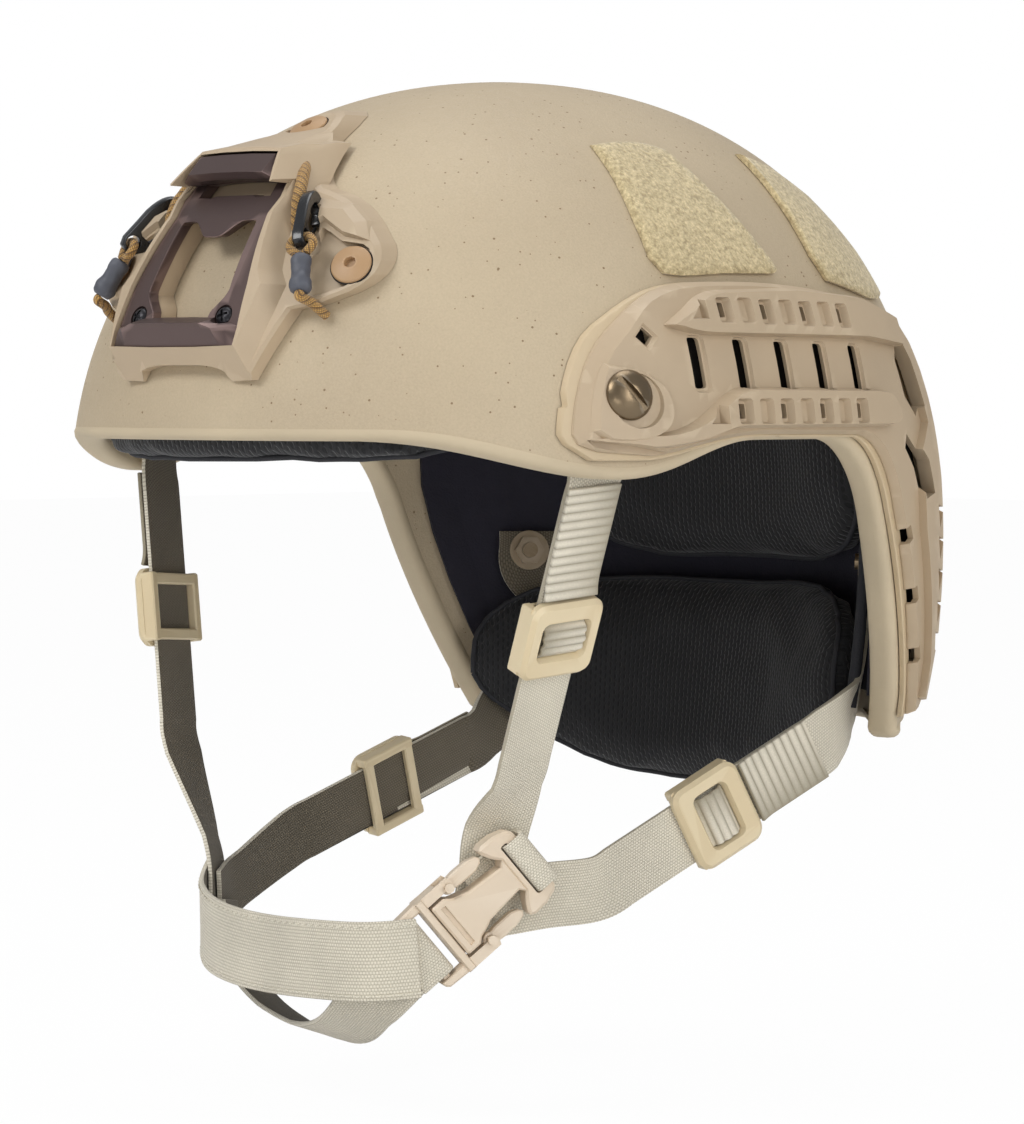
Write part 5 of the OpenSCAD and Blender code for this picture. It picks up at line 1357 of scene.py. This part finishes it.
# %% [markdown]
# ## Buckle
# A side-release buckle has a socket that both left straps are sewn to, and a plug with two springy
# prongs that snap into it. Every part is drawn in the buckle's own plane as stacked plates, with
# grooves and rounded corners, and then set at the wearer's left cheek.

# %% Buckle helpers
BUCKLE = frame_of(AXIS_A, AXIS_W, AXIS_N, BUCKLE_O)


def mirror_line(line):
    return line + [(a, -b) for a, b in reversed(line)]


def one_side(line, s):
    """The outline as it is, or its mirror image on the lower side of the buckle."""
    return [(a, s * b) for a, b in (line if s > 0 else reversed(line))]


def slab(line, height, soft=0.7):
    """A plate centred on the buckle's plane with softened faces."""
    h, small = height / 2, inset(line, soft)
    return plate("slab", [(-h, small), (-h + soft, line), (h - soft, line), (h, small)])


def into_buckle(piece, node, body="helmet"):
    """Sets the flat piece in the buckle's plane and dresses it."""
    settle(set_in(piece, BUCKLE), node + "_moulding")
    dress(shade(piece, 40), BUCKLE_TAN, node, body=body, slot="buckle_plastic")


print("buckle helpers ready")

# %% Socket and plug
collar = [(2.7, 8.5), (3.3, 9.1), (7.6, 9.1)] + bez((9.4, 7.6), (10.4, 7.0), (14, 6.6), (16, 4.5), 5)
socket = slab(mirror_line(collar + [(27, 4.5), (29, 6.5)]), 8)
yoke = mirror_line([(28.5, 6), (26.4, 8.6), (25, 11.4), (25, 12.8), (26.5, 13.6), (31, 13.4), (35.4, 12),
                    (36.6, 10.6), (37, 8)])
fuse(socket, slab(yoke, 8, 0.9))
cut(socket, plate("groove", [(3.1, mirror_line([(5.2, 7.2), (6.6, 7.0)])),
                             (6, mirror_line([(4.6, 7.8), (7.2, 7.6)]))]))
cut(socket, prism(pill(32, 0, 2.6, 18.6, 0.6), -10, 10))
into_buckle(bevel(socket, 0.3, 2, 40), "buckle_socket")

EAR = [(-9, 10.6), (-8.6, 12.2), (-7.6, 13.1), (0, 13.5), (8, 13.5), (8.4, 12.9), (8.4, 10.7), (0, 10.4)]
CHEEK = [(2, 10.1), (2, 13.5), (12.4, 13.5), (13.2, 11.5), (12.4, 10.1)]
PIVOT = (11, 10.5)
plug = slab([(-0.3, -13.5), (2.3, -13.5), (2.3, 13.5), (-0.3, 13.5)], 8, 0.6)
for s in (-1, 1):
    fuse(plug, slab(one_side(EAR, s), 5.6, 0.6))
    for z in (-1, 1):
        fuse(plug, prism(one_side(CHEEK, s), z * 2.75 - 0.45, z * 2.75 + 0.45))
    fuse(plug, prism(pill(PIVOT[0], s * PIVOT[1], 2.2, 2.2, 1), -3, 3))
fuse(plug, slab([(-7.7, -11.2), (-5.1, -11.2), (-5.1, 11.2), (-7.7, 11.2)], 2.4, 0.5))
fuse(plug, slab([(1, -2.3), (15, -2.3), (15, 2.3), (1, 2.3)], 2.6, 0.4))
into_buckle(bevel(plug, 0.25, 2, 40), "buckle_plug")

prong_line = [(11, 9), (15, 8.4), (21, 8.4), (23.4, 9.4), (24.2, 10.6), (23.4, 11.8), (20, 12.8), (15, 12.9),
              (11, 12.4)]
prong = slab(prong_line, 3.9, 0.5)
fuse(prong, slab(pill(*PIVOT, 4.4, 4.4, 1, 8), 3.9, 0.3))
cut(prong, prism(pill(*PIVOT, 2.9, 2.9, 1, 8), -5, 5))
bevel(prong, 0.25, 2, 40)
lower = duplicate(prong, "lower_prong_moulding")
lower.data.transform(Matrix.Scale(-1, 4, (0, 1, 0)))
lower.data.flip_normals()
into_buckle(prong, "upper_prong", body="upper_prong")
into_buckle(lower, "lower_prong", body="lower_prong")
print("buckle: 4 pieces")

# %% [markdown]
# ## Sewn loops and chin webbing
# The socket hangs in a sewn loop with three dense rows of stitches, and the plug is held by another
# loop that the chin strap and the chin sling are sewn to. The stitches are tiny rounded bars, made
# once and copied along each seam.

# %% Sewn loops
LOOP_T = 1.3


def loop_web(name, path, width, node):
    points = smooth([in_buckle(x, 0, z) for x, z in path], 3)
    normals = [unit(heading(points, i).cross(AXIS_W)) for i in range(len(points))]
    place_piece(ribbon(name, points, normals, width, LOOP_T, [WEB, WEB]), node, slot="webbing_fabric")


SOCKET_LOOP = [(17, -4.9), (24, -4.9), (30.4, -4.9), (31.4, -4.5), (31.9, -3.6), (32, -1), (32, 3.4),
               (32.3, 4.6), (33.2, 5.2), (36.4, 5.2), (37.8, 4.7), (38.5, 3.4), (38.6, 0), (38.5, -4),
               (37.7, -5.7), (36, -6.5), (30, -6.5), (24, -6.5), (17, -6.5)]
PLUG_LOOP = [(-15, 2.1), (-8.6, 2.1)] + bez((-6.4, 2.1), (-2.4, 2.9), (-2.4, -2.9), (-6.4, -2.1), 6)
PLUG_LOOP += [(-8.6, -2.1), (-15, -2.1)]
loop_web("socket_loop", SOCKET_LOOP, 17.6, "socket_tab")
loop_web("plug_loop", PLUG_LOOP, 19, "plug_tab")
print("sewn loops: 2")

# %% Chin strap and chin sling
FACE_OFF = 2.1 + LOOP_T / 2 + 0.15 + WEB_T / 2


def chin_band(name, points, facing, width, node):
    """A strap under the chin; gives back its path and normals for the stitches."""
    path = smooth(points, FINE)
    normals = spread(facing, len(path))
    path = relax(path, 14)
    # The inside face of the chin webbing gets the darker copy: painted shade.
    place_piece(ribbon(name, path, normals, width, WEB_T, [WEB_SHADED_SIDE, WEB]), node, slot="webbing_fabric")
    return path, normals


chin, chin_out = chin_band(
    "chin_webbing",
    [in_join(7, 2, 1.9), in_join(-2, -1, 1.9), (-62, -73, -151.5), (-42, -86, -155.5), (-14, -91.5, -157.5),
     (12, -93, -157), (30, -92, -156.6), in_buckle(-17, 6, FACE_OFF), in_buckle(-9.6, 0.6, FACE_OFF)],
    [JOIN_OUT, JOIN_OUT, (-0.72, -0.69, 0), (-0.35, -0.94, 0), (0, -1, 0), (0.1, -1, 0), (0.5, -0.87, 0),
     AXIS_N, AXIS_N],
    CHIN_W, "chin_strap")
chin_band(
    "sling_webbing",
    [in_join(-1, -2, -4.4), in_join(-3, -13, -5.4), (-55, -60, -172), (-36, -62, -181), (-12, -68, -184),
     (10, -77, -181), in_buckle(-30, -2, -FACE_OFF - 2.4), in_buckle(-19, -1, -FACE_OFF),
     in_buckle(-9.6, 0, -FACE_OFF)],
    [JOIN_OUT, JOIN_OUT, (-0.6, -0.35, -0.7), (-0.3, -0.3, -0.9), (0.05, -0.35, -0.93), (0.4, -0.5, -0.75),
     AXIS_N, AXIS_N, AXIS_N],
    WEB_W, "chin_sling")
print("chin webbing: 2")

# %% Stitches
def stitch_row(path, normals, offset, lift, pitch=3.0, long=2.1, start=0.0, end=1e9):
    """A row of stitches that follows a strap; offset is across the strap, lift is over its middle."""
    bpy.ops.mesh.primitive_uv_sphere_add(segments=8, ring_count=5, radius=1)
    bead = bpy.context.object
    for v in bead.data.vertices:
        v.co = Vector((v.co.x * long / 2, v.co.y * 0.34, v.co.z * 0.26)) * MM
    made, at, next_at = [], 0.0, start
    for a, b, normal in zip(path, path[1:], normals):
        step = (b - a).length
        while next_at <= at + step and next_at < end:
            d = unit(b - a)
            side = unit(normal.cross(d))
            n = d.cross(side)
            p = a.lerp(b, (next_at - at) / step) + side * offset + n * lift
            made.append(set_in(duplicate(bead, "stitch"), frame_of(d, side, n, p)))
            next_at += pitch
        at += step
    bpy.data.objects.remove(bead)
    return join(*made)


rows = [stitch_row(chin, chin_out, s * 10.4, WEB_T / 2 + 0.1, start=2, end=150) for s in (1, -1)]
for x in (19, 23, 27):
    line = [in_buckle(x, -8, -4.1), in_buckle(x, 8, -4.1)]
    rows.append(stitch_row(line, [AXIS_N] * 2, 0, 0, pitch=0.9, long=1.5))
stitches = settle(join(*rows), "harness_stitches")
dress(shade(stitches, 60), THREAD, slot="webbing_fabric")
print("stitches:", len(stitches.data.polygons), "faces")

# %% [markdown]
# ## Bolts and screws
# The rail bolt has a wide domed head with one slot, the insert is held by two small cross-head
# screws, and three low conical caps on thin washers close the shroud's bolt holes. The washers'
# dark colour is painted shade for the gap round each cap. Heads like these are turned on a lathe,
# so each starts as a profile spun round, and the slot, cross or hexagon is cut in afterwards.

# %% Turned parts
# The second colour of each metal is for its sharp edges: rubbed wear and painted highlight.
DARK_STEEL = anodised("dark_bolt_steel", srgb(122, 106, 84), srgb(206, 196, 180), (0.24, 0.4), 0.9)
BLACK_STEEL = anodised("black_screw_steel", srgb(44, 43, 46), srgb(120, 118, 120), (0.3, 0.45), 0.7)
WIRE_STEEL = anodised("dark_spring_wire", srgb(60, 60, 62), srgb(150, 150, 150), (0.25, 0.4), 0.8)
CAP_PAINT = moulded("orange_tan_cap", srgb(170, 136, 98), grain=800, rough=(0.4, 0.58),
                    edge=srgb(206, 172, 134))
RAIL_FACE, SEAT_GAP = 7.4, 0.02
NUT_H, PAST_NUT = 3.4, 1.6


def turned(name, profile, steps=56):
    """A lathe part: the profile is a list of radius and height in mm."""
    bpy.ops.mesh.primitive_grid_add(x_subdivisions=len(profile) - 1, y_subdivisions=steps, size=1)
    obj = bpy.context.object
    for k, v in enumerate(obj.data.vertices):
        row, col = divmod(k, len(profile))
        r, z = profile[col]
        turn = 2 * math.pi * row / steps
        v.co = Vector((r * math.cos(turn), r * math.sin(turn), z)) * MM
    obj.name = obj.data.name = name
    return outward(obj)


def spun(obj, degrees):
    obj.data.transform(Matrix.Rotation(math.radians(degrees), 4, "Z"))
    return obj


def seated(obj, spot, height):
    """Stands the part on the shell, at a spot given as place and normal, height over the paint."""
    p, n = spot
    return set_in(obj, stand(p + n * (height + SEAT_GAP), n))


def both_sides(obj, name, mat, node, slot):
    """A mirrored pair of identical fasteners as one piece."""
    twin = duplicate(obj, name, mirrored=True)
    pair = settle(join(obj, twin), name)
    return dress(shade(pair, 35), mat, node, slot=slot)


grip = RAIL_FACE + WALL + STRAP_LIFT + WEB_T + NUT_H + PAST_NUT
bolt = turned("rail_bolt", [(0, 4.0), (2.6, 3.8), (4.8, 3.15), (6.3, 2.25), (7.2, 1.2), (7.5, 0.6), (7.5, 0),
                            (2.6, 0), (2.6, -grip), (0, -grip)])
cut(bolt, plate("slot", [(2.3, pill(0, 0, 17, 1.9, 0.2)), (6, pill(0, 0, 17, 2.3, 0.2))]))
bevel(bolt, 0.18, 2, 40)
seated(spun(bolt, -50), on_flank(*RAIL_BOLT), RAIL_FACE)
both_sides(bolt, "rail_bolt_heads", DARK_STEEL, "rail_bolts", "dark_steel")

screw = turned("insert_screw", [(0, 1.9), (1.5, 1.75), (2.5, 1.25), (3.0, 0.6), (3.1, 0), (1.5, 0), (1.5, -6),
                                (0, -6)], 40)
for turn in (20, 110):
    cross = plate("cross", [(1.0, pill(0, 0, 4.0, 0.8, 0.3)), (4, pill(0, 0, 4.4, 1.1, 0.3))])
    cut(screw, spun(cross, turn))
bevel(screw, 0.1, 2, 40)
seated(screw, on_brow(*SCREW), SCREW_FACE)
both_sides(screw, "insert_screw_heads", BLACK_STEEL, "insert_screws", "black_steel")


def cap():
    r, low = DISC_D / 2, -(DISC_SEAT + WALL - 2)
    form = turned("cap", [(0, 2.4), (2.4, 2.3), (r - 0.5, 1.6), (r, 1.1), (r, 0), (2.6, 0), (2.6, low),
                          (0, low)])
    cut(form, plate("hexagon", [(0.7, pill(0, 0, 3.6, 3.6, 1, 2)), (4, pill(0, 0, 4.0, 4.0, 1, 2))]))
    return bevel(form, 0.15, 2, 40)


def washer():
    return turned("washer", [(2.8, 0.1), (2.8, 0.6), (6.6, 0.6), (6.6, 0.1), (2.8, 0.1)])


caps = [seated(cap(), spot, DISC_SEAT) for spot in SEATS]
washers = [seated(washer(), spot, DISC_SEAT) for spot in SEATS]
# The washers take the dark painted-shade material: partly a washer, partly the shade in the gap round each
# cap.
dress(shade(settle(join(*washers), "shroud_shade_washers"), 35), DARK_PAINTED_SHADE, slot="ferrule_rubber")
dress(shade(settle(join(*caps), "shroud_cap_bolts"), 35), CAP_PAINT, "shroud_bolts", slot="bolt_paint")
for node in ("rail_nuts", "nape_bolts", "nape_nuts"):
    for slot in nodes[node].material_slots:
        slot.material = DARK_STEEL
print("fasteners done")

# %% [markdown]
# ## Cords, ferrules and snap hooks
# On each side of the shroud a short elastic cord ends in a snap hook. The cord is a round braid with
# a dark tracer thread, gripped by a soft rubber ferrule. It is held at both ends, so its route is
# fixed: a run down from the mouth of the shroud, a loop through the hook's eye, the ferrule, and a
# short tail into the shroud.

# %% Braid and rubber
def braided(name, light, dark):
    """A round braid of light threads with a dark one here and there."""
    mat, tree = new_material(name)
    axes = add(tree, "ShaderNodeSeparateXYZ", {"Vector": add(tree, "ShaderNodeUVMap").outputs[0]})
    u = maths(tree, "MULTIPLY", axes.outputs[0], 9.0)
    v = maths(tree, "DIVIDE", axes.outputs[1], 0.75)
    one, other = maths(tree, "ADD", u, v), maths(tree, "SUBTRACT", u, v)
    height = maths(tree, "POWER", pillows(tree, one, other), 0.5)
    tracer = maths(tree, "LESS_THAN", maths(tree, "FRACT", maths(tree, "DIVIDE", one, 3.0)), 0.2)
    color = mixed_color(tree, height, srgb(96, 68, 34), mixed_color(tree, tracer, light, dark))
    return surface(mat, color, 0.7, height, 0.8, 0.0004, {"Sheen Weight": 0.2})


CORD = braided("golden_braid", srgb(204, 158, 84), srgb(112, 80, 40))
FERRULE = moulded("blue_grey_rubber", srgb(76, 78, 86), grain=500, rough=(0.45, 0.65), bump=0.3, drift=0.1,
                  edge=srgb(112, 117, 128))
HOOK_BLACK = moulded("glossy_black_plastic", srgb(24, 25, 27), grain=600, rough=(0.16, 0.3), bump=0.08,
                     edge=srgb(48, 49, 53))


def tube(name, path, radii, around=18, lumps=0.0):
    """A round rod along the path with a radius for each point; its UV map is turns and millimetres."""
    rows = [(0, 0.02)] + [(i, r) for i, r in enumerate(radii)] + [(len(path) - 1, 0.02)]
    bpy.ops.mesh.primitive_grid_add(x_subdivisions=around, y_subdivisions=len(rows) - 1, size=1,
                                    calc_uvs=True)
    obj = bpy.context.object
    frames, side = [], Vector((0.31, 0.87, 0.39))
    for i in range(len(path)):
        d = heading(path, i)
        side = unit(side - d * side.dot(d))
        frames.append((side, d.cross(side)))
    for k, v in enumerate(obj.data.vertices):
        row, col = divmod(k, around + 1)
        i, r = rows[row]
        a = 2 * math.pi * (col % around) / around
        out = frames[i][0] * math.cos(a) + frames[i][1] * math.sin(a)
        r *= 1 + lumps * noise.noise((path[i] + out * r) * 0.45)
        v.co = (path[i] + out * r) * MM
    length = distances(path)
    layer = obj.data.uv_layers[0].data
    for loop in obj.data.loops:
        row, col = divmod(loop.vertex_index, around + 1)
        layer[loop.index].uv = (col / around, length[rows[row][0]])
    obj.name = obj.data.name = name
    return outward(obj)


# %% Cords and ferrules
FERRULE_DIR = unit(EYE - FERRULE_END)
FERRULE_TOP = EYE - FERRULE_DIR * 6.4
LOOP_SIDE = unit(FERRULE_DIR.cross(HOOK_N))
LOOP = [(0.4, 1.5), (1, 1.6), (3.4, 3.6), (6, 2.7), (6.5, 0), (6, -2.7), (3.4, -3.6), (1, -1.6), (0.4, -1.5)]
TAIL = [FERRULE_END - FERRULE_DIR * 0.4, FERRULE_END - FERRULE_DIR * 1.6, FERRULE_END.lerp(TAIL_IN, 0.65),
        TAIL_IN, TAIL_IN + TAIL_DIR * 4]
MOUTH = [(15.6, -99.5, 83), (18.8, -101.5, 82), (23, -106, 79), (26, -110, 74.5), (27.6, -112.6, 70),
         (28.4, -113.6, 65.5), (28.4, -113.2, 61)]
SLEEVE_STEPS = 20


def cord_run(name, points, fine, radius, lumps=0.0):
    path = smooth(points, fine)
    return tube(name, path, [radius] * len(path), lumps=lumps)


def sleeve_radius(i):
    """Two soft swellings, and a rounded lip at each end."""
    f = i / SLEEVE_STEPS
    lip = 0.7 if i in (0, SLEEVE_STEPS) else 0.15 if i in (1, SLEEVE_STEPS - 1) else 0
    return 2.75 + 0.75 * math.exp(-((f - 0.2) / 0.17) ** 2) + 0.4 * math.exp(-((f - 0.82) / 0.14) ** 2) - lip


cord = join(cord_run("mouth_run", MOUTH, 5, 1.9, 0.1),
            cord_run("loop", [FERRULE_TOP + FERRULE_DIR * a + LOOP_SIDE * b for a, b in LOOP], 6, 1.35),
            cord_run("tail", TAIL, 6, 1.5))
sleeve_l = (FERRULE_TOP - FERRULE_END).length
sleeve = [FERRULE_END + FERRULE_DIR * sleeve_l * (i / SLEEVE_STEPS) for i in range(SLEEVE_STEPS + 1)]
ferrule = tube("ferrule", sleeve, [sleeve_radius(i) for i in range(SLEEVE_STEPS + 1)], around=24, lumps=0.12)
for piece, mat, name, slot in ((cord, CORD, "cord", "cord_fabric"),
                               (ferrule, FERRULE, "ferrule", "ferrule_rubber")):
    settle(piece, "left_" + name + "_piece")
    left_and_right(piece, name + "_piece", mat, name, slot, angle=60)
print("cords and ferrules: 4")

# %% Snap hooks and gates
def longer(a):
    """The bow of the hook is drawn out by a third beyond its eye end."""
    return a + 0.35 * max(0, a + 3)


def in_hook(x, y, z):
    return HOOK_FRAME @ Vector((x, y, z))


UPRIGHT = Matrix(((0, 0, 1, 0), (1, 0, 0, 0), (0, 1, 0, 0), (0, 0, 0, 1)))
PIN_Y, PIN_Z = -5.6, -4.2
hook_line = [(-10.8, -1.6), (-10, 1), (-7.6, 2), (-2, 1.9)]
hook_line += bez((1.5, 1.9), (7.6, 1.2), (9.6, -2.6), (8, -6.6), 10)
hook_line += bez((7.6, -7.8), (6.4, -9.6), (4.6, -9.9), (3.4, -9.6), 6) + [(2.2, -9.4), (2.2, -8), (3, -7.7)]
hook_line += bez((4.4, -7.6), (6, -6.6), (6.2, -3.4), (3.4, -1.4), 8)
hook_line += [(1.6, -0.8), (-3, -0.9), (-3.8, -2), (-3.8, -4.6), (-4.6, -6), (-6.6, -6.2), (-8.6, -4.8),
              (-10.2, -3.6)]
slim_line, eye_line = inset(hook_line, 0.35), pill(-7.2, -1.2, 4.4, 4.4, 1, 8)
wide_eye = grown(eye_line, 0.4)
hook = plate("hook", [(-1.8, slim_line), (-1.2, hook_line), (1.2, hook_line), (1.8, slim_line)])
cut(hook, plate("eye", [(-3, wide_eye), (-1.2, eye_line), (1.2, eye_line), (3, wide_eye)]))
cut(hook, prism([(-8, -9), (0, -9), (0, -3.7), (-8, -3.7)], -1.05, 1.05))
bevel(hook, 0.3, 2, 40)
for v in hook.data.vertices:
    v.co.x = longer(v.co.x / MM) * MM
set_in(hook, HOOK_FRAME @ UPRIGHT)
join(hook, tube("pin", [in_hook(x, PIN_Y, PIN_Z) for x in (-1.8, 1.8)], [0.45, 0.45], around=12))
settle(hook, "left_hook_moulding")
lean = math.radians(-31.4 - 90)
tip = Vector((0, -math.sin(lean), math.cos(lean)))
wire_path = [in_hook(0, longer(PIN_Y + tip.y * t), PIN_Z + tip.z * t)
             for t in (1.1, 2.5, 4, 5.5, 7, 7.8, 8.2)]
turns = [t * math.pi / 10 for t in range(21)]
eye_ring = [in_hook(0, PIN_Y + 1.12 * math.cos(t), PIN_Z + 1.12 * math.sin(t)) for t in turns]
gate = join(tube("wire", wire_path, [0.6] * 5 + [0.55, 0.35], around=12),
            tube("ring", eye_ring, [0.4] * len(turns), around=10))
settle(gate, "left_gate_wire")
left_and_right(hook, "hook_moulding", HOOK_BLACK, "hook", "hook_plastic", angle=40)
left_and_right(gate, "gate_wire", WIRE_STEEL, "gate", "wire_steel", angle=60, rides="gate")
print("hooks and gates: 4")

# %% [markdown]
# ## Pads
# The pads are foam in a bag of black knitted mesh, with a seam round the middle of the wall and a
# soft binding. A foam pad is made by letting a slightly smaller form swell under pressure as cloth
# does, then rounding it once more; the mesh is a pattern of small upright slots in the material.

# %% Mesh fabric
def knitted(name, flat=False):
    """Black knitted mesh: rows of small upright slots, laid round the head, or flat for the crown."""
    mat, tree = new_material(name)
    where = object_place(tree)
    x, y, z = add(tree, "ShaderNodeSeparateXYZ", {"Vector": where}).outputs
    if flat:
        u, v = maths(tree, "MULTIPLY", x, 600.0), maths(tree, "MULTIPLY", y, 380.0)
    else:
        u = maths(tree, "MULTIPLY", maths(tree, "ARCTAN2", y, x), 58.0)
        v = maths(tree, "MULTIPLY", z, 380.0)
    column = maths(tree, "MODULO", maths(tree, "ADD", maths(tree, "FLOOR", u), 400.0), 2.0)
    shifted = maths(tree, "ADD", v, maths(tree, "MULTIPLY", column, 0.5))
    far = []
    for value, tight in ((u, 3.6), (shifted, 2.6)):
        off = maths(tree, "ABSOLUTE", maths(tree, "SUBTRACT", maths(tree, "FRACT", value), 0.5))
        far.append(maths(tree, "POWER", maths(tree, "MULTIPLY", off, tight), 2.0))
    yarn = carried(tree, maths(tree, "ADD", *far), 0, 1, 0.5, 1.3)
    tone = carried(tree, noise_at(tree, where, 30, 3), 0.8, 1.2)
    toned = scaled(tree, mixed_color(tree, yarn, srgb(12, 12, 14), srgb(27, 27, 29)), tone)
    height = maths(tree, "ADD", yarn, maths(tree, "MULTIPLY", noise_at(tree, where, 1900, 2), 0.25))
    sheen = {"Sheen Weight": 0.18, "Sheen Roughness": 0.4}
    return surface(mat, toned, 0.78, height, 0.6, 0.0006, sheen)


KNIT = knitted("black_knitted_mesh")
KNIT_FLAT = knitted("black_knitted_mesh_flat", flat=True)
BINDING = moulded("dark_grey_binding", srgb(38, 38, 42), grain=1500, rough=(0.7, 0.9), bump=0.6, drift=0.15)
FELT = moulded("blue_violet_felt", srgb(30, 28, 40), grain=1300, rough=(0.8, 0.95), bump=0.8, drift=0.2)
print("pad fabrics:", KNIT.name, KNIT_FLAT.name, BINDING.name, FELT.name)


# %% Foam pads
SWELL_FRAMES, MOST_SWELL = 20, 2.4


def swell_up(pad):
    """Lets the pad fill out as a closed bag of cloth does when air is let in."""
    only(pad)
    mod = pad.modifiers.new("swell", "CLOTH")
    mod.settings.use_pressure = True
    mod.settings.uniform_pressure_force = 4
    mod.settings.effector_weights.gravity = 0
    mod.point_cache.frame_start, mod.point_cache.frame_end = 1, SWELL_FRAMES
    for f in range(1, SWELL_FRAMES + 1):
        bpy.context.scene.frame_set(f)
    bpy.ops.object.modifier_apply(modifier=mod.name)
    bpy.context.scene.frame_set(1)


def foam(node):
    """A pad that swells from its solid like a filled bag, but no point moves further than MOST_SWELL."""
    pad = bpy.data.objects.new(node + "_foam", nodes[node].data.copy())
    bpy.context.scene.collection.objects.link(pad)
    outward(pad)
    apply_modifier(pad, "DISPLACE", strength=-0.5 * MM, mid_level=0)
    apply_modifier(pad, "REMESH", mode="VOXEL", voxel_size=4.5 * MM)
    before = [v.co.copy() for v in pad.data.vertices]
    swell_up(pad)
    for v, p in zip(pad.data.vertices, before):
        step = v.co - p
        if step.length > MOST_SWELL * MM:
            v.co = p + step * (MOST_SWELL * MM / step.length)
    apply_modifier(pad, "SUBSURF", levels=1)
    pad.data.update()
    return pad


PAD_TH, NAPE_TH, PAD_G = 17, 15, WALL + 0.7
BAND_IN = WALL + BAND_SEAT + BAND_T + 0.4
NAPE_IN = WALL + NAPE_LIFT + WEB_T + 2
# middle angle, half angle, middle height, half height, gap to the paint, thickness, narrowing below
PAD_FORMS = {"front_pad": (-90, 56, 17, 25, PAD_G, PAD_TH, 0),
             "left_side_pad": (9, 23, 42, 21, PAD_G, PAD_TH, 0),
             "rear_pad": (90, 38, -9, 34, BAND_IN, PAD_TH, 0),
             "nape_pad": (90, 47, -82, 36, NAPE_IN, NAPE_TH, 0.3)}
SEAM_DEPTH, SEAM_REACH = 0.42, 1.02


def pad_point(form, turn):
    """A point of the seam in the pad's wall; turn goes round its outline."""
    t0, dt, z0, dz, g, th, narrow = form
    a = math.radians(turn)
    v = SEAM_REACH * spow(math.sin(a), 2 / 3)
    side = t0 + dt * SEAM_REACH * spow(math.cos(a), 2 / 3) * (1 + narrow * min(0, v))
    return dome_pt(side, z0 + dz * v, -g - th * SEAM_DEPTH)


def widen(p):
    """The nape pad reaches further round on the wearer's right than on the left."""
    turn = math.atan2(p.y, p.x)
    over = math.degrees(turn) - 90
    if over <= 0:
        return p
    more = math.radians(0.26 * over * min(1, max(0, (p.z / MM + 122) / 34)))
    new, old = dome_pt(math.degrees(turn + more), -60, -24), dome_pt(math.degrees(turn), -60, -24)
    grow = Vector((new.x, new.y)).length / Vector((old.x, old.y)).length
    r = Vector((p.x, p.y)).length * grow
    return Vector((r * math.cos(turn + more), r * math.sin(turn + more), p.z))


def piping(node, form, pad):
    """A round cord sewn into the seam that runs round the pad, laid on the pad's own surface."""
    path = [pad_point(form, 4 * k) for k in range(91)]
    if node == "nape_pad":
        path = [widen(p * MM) / MM for p in path]
    for i, p in enumerate(path):
        _, place, normal, _ = pad.closest_point_on_mesh(p * MM)
        path[i] = place / MM + normal * 0.35
    path[-1] = path[0].copy()
    return tube(node + "_piping", path, [0.9] * len(path), around=10)


PADS = ("front_pad", "crown_pad", "left_side_pad", "right_side_pad", "rear_pad", "nape_pad")
for node in PADS:
    pad = foam(node)
    if node == "nape_pad":
        for v in pad.data.vertices:
            v.co = widen(v.co)
    settle(pad, node + "_foam")
    dress(shade(pad, 60), KNIT_FLAT if node == "crown_pad" else KNIT, node, slot="pad_fabric")
    low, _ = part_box(node)
    over = [max(0, low[i] - min(v.co[i] for v in pad.data.vertices)) * 1000 for i in range(3)]
    print(pad.name, len(pad.data.polygons), "faces, past its solid by mm", [round(o, 1) for o in over])
for node, form in PAD_FORMS.items():
    seam = settle(piping(node, form, bpy.data.objects[node + "_foam"]), node + "_piping")
    dress(shade(seam, 60), BINDING, slot="pad_fabric")
    if node == "left_side_pad":
        twin = duplicate(seam, "right_side_pad_piping", mirrored=True)
        dress(twin, BINDING, slot="pad_fabric")
edge_path = smooth([dome_pt(40.5, z, -17) for z in (-2, -14, -30, -48, -64, -76, -86)], 5)
edge = tube("edge", edge_path, [1.9] * len(edge_path), around=12, lumps=0.1)
dress(shade(settle(edge, "left_edge_binding"), 60), BINDING, slot="pad_fabric")
for slot in nodes["nape_band"].material_slots:
    slot.material = FELT
print("pads:", len(PADS))
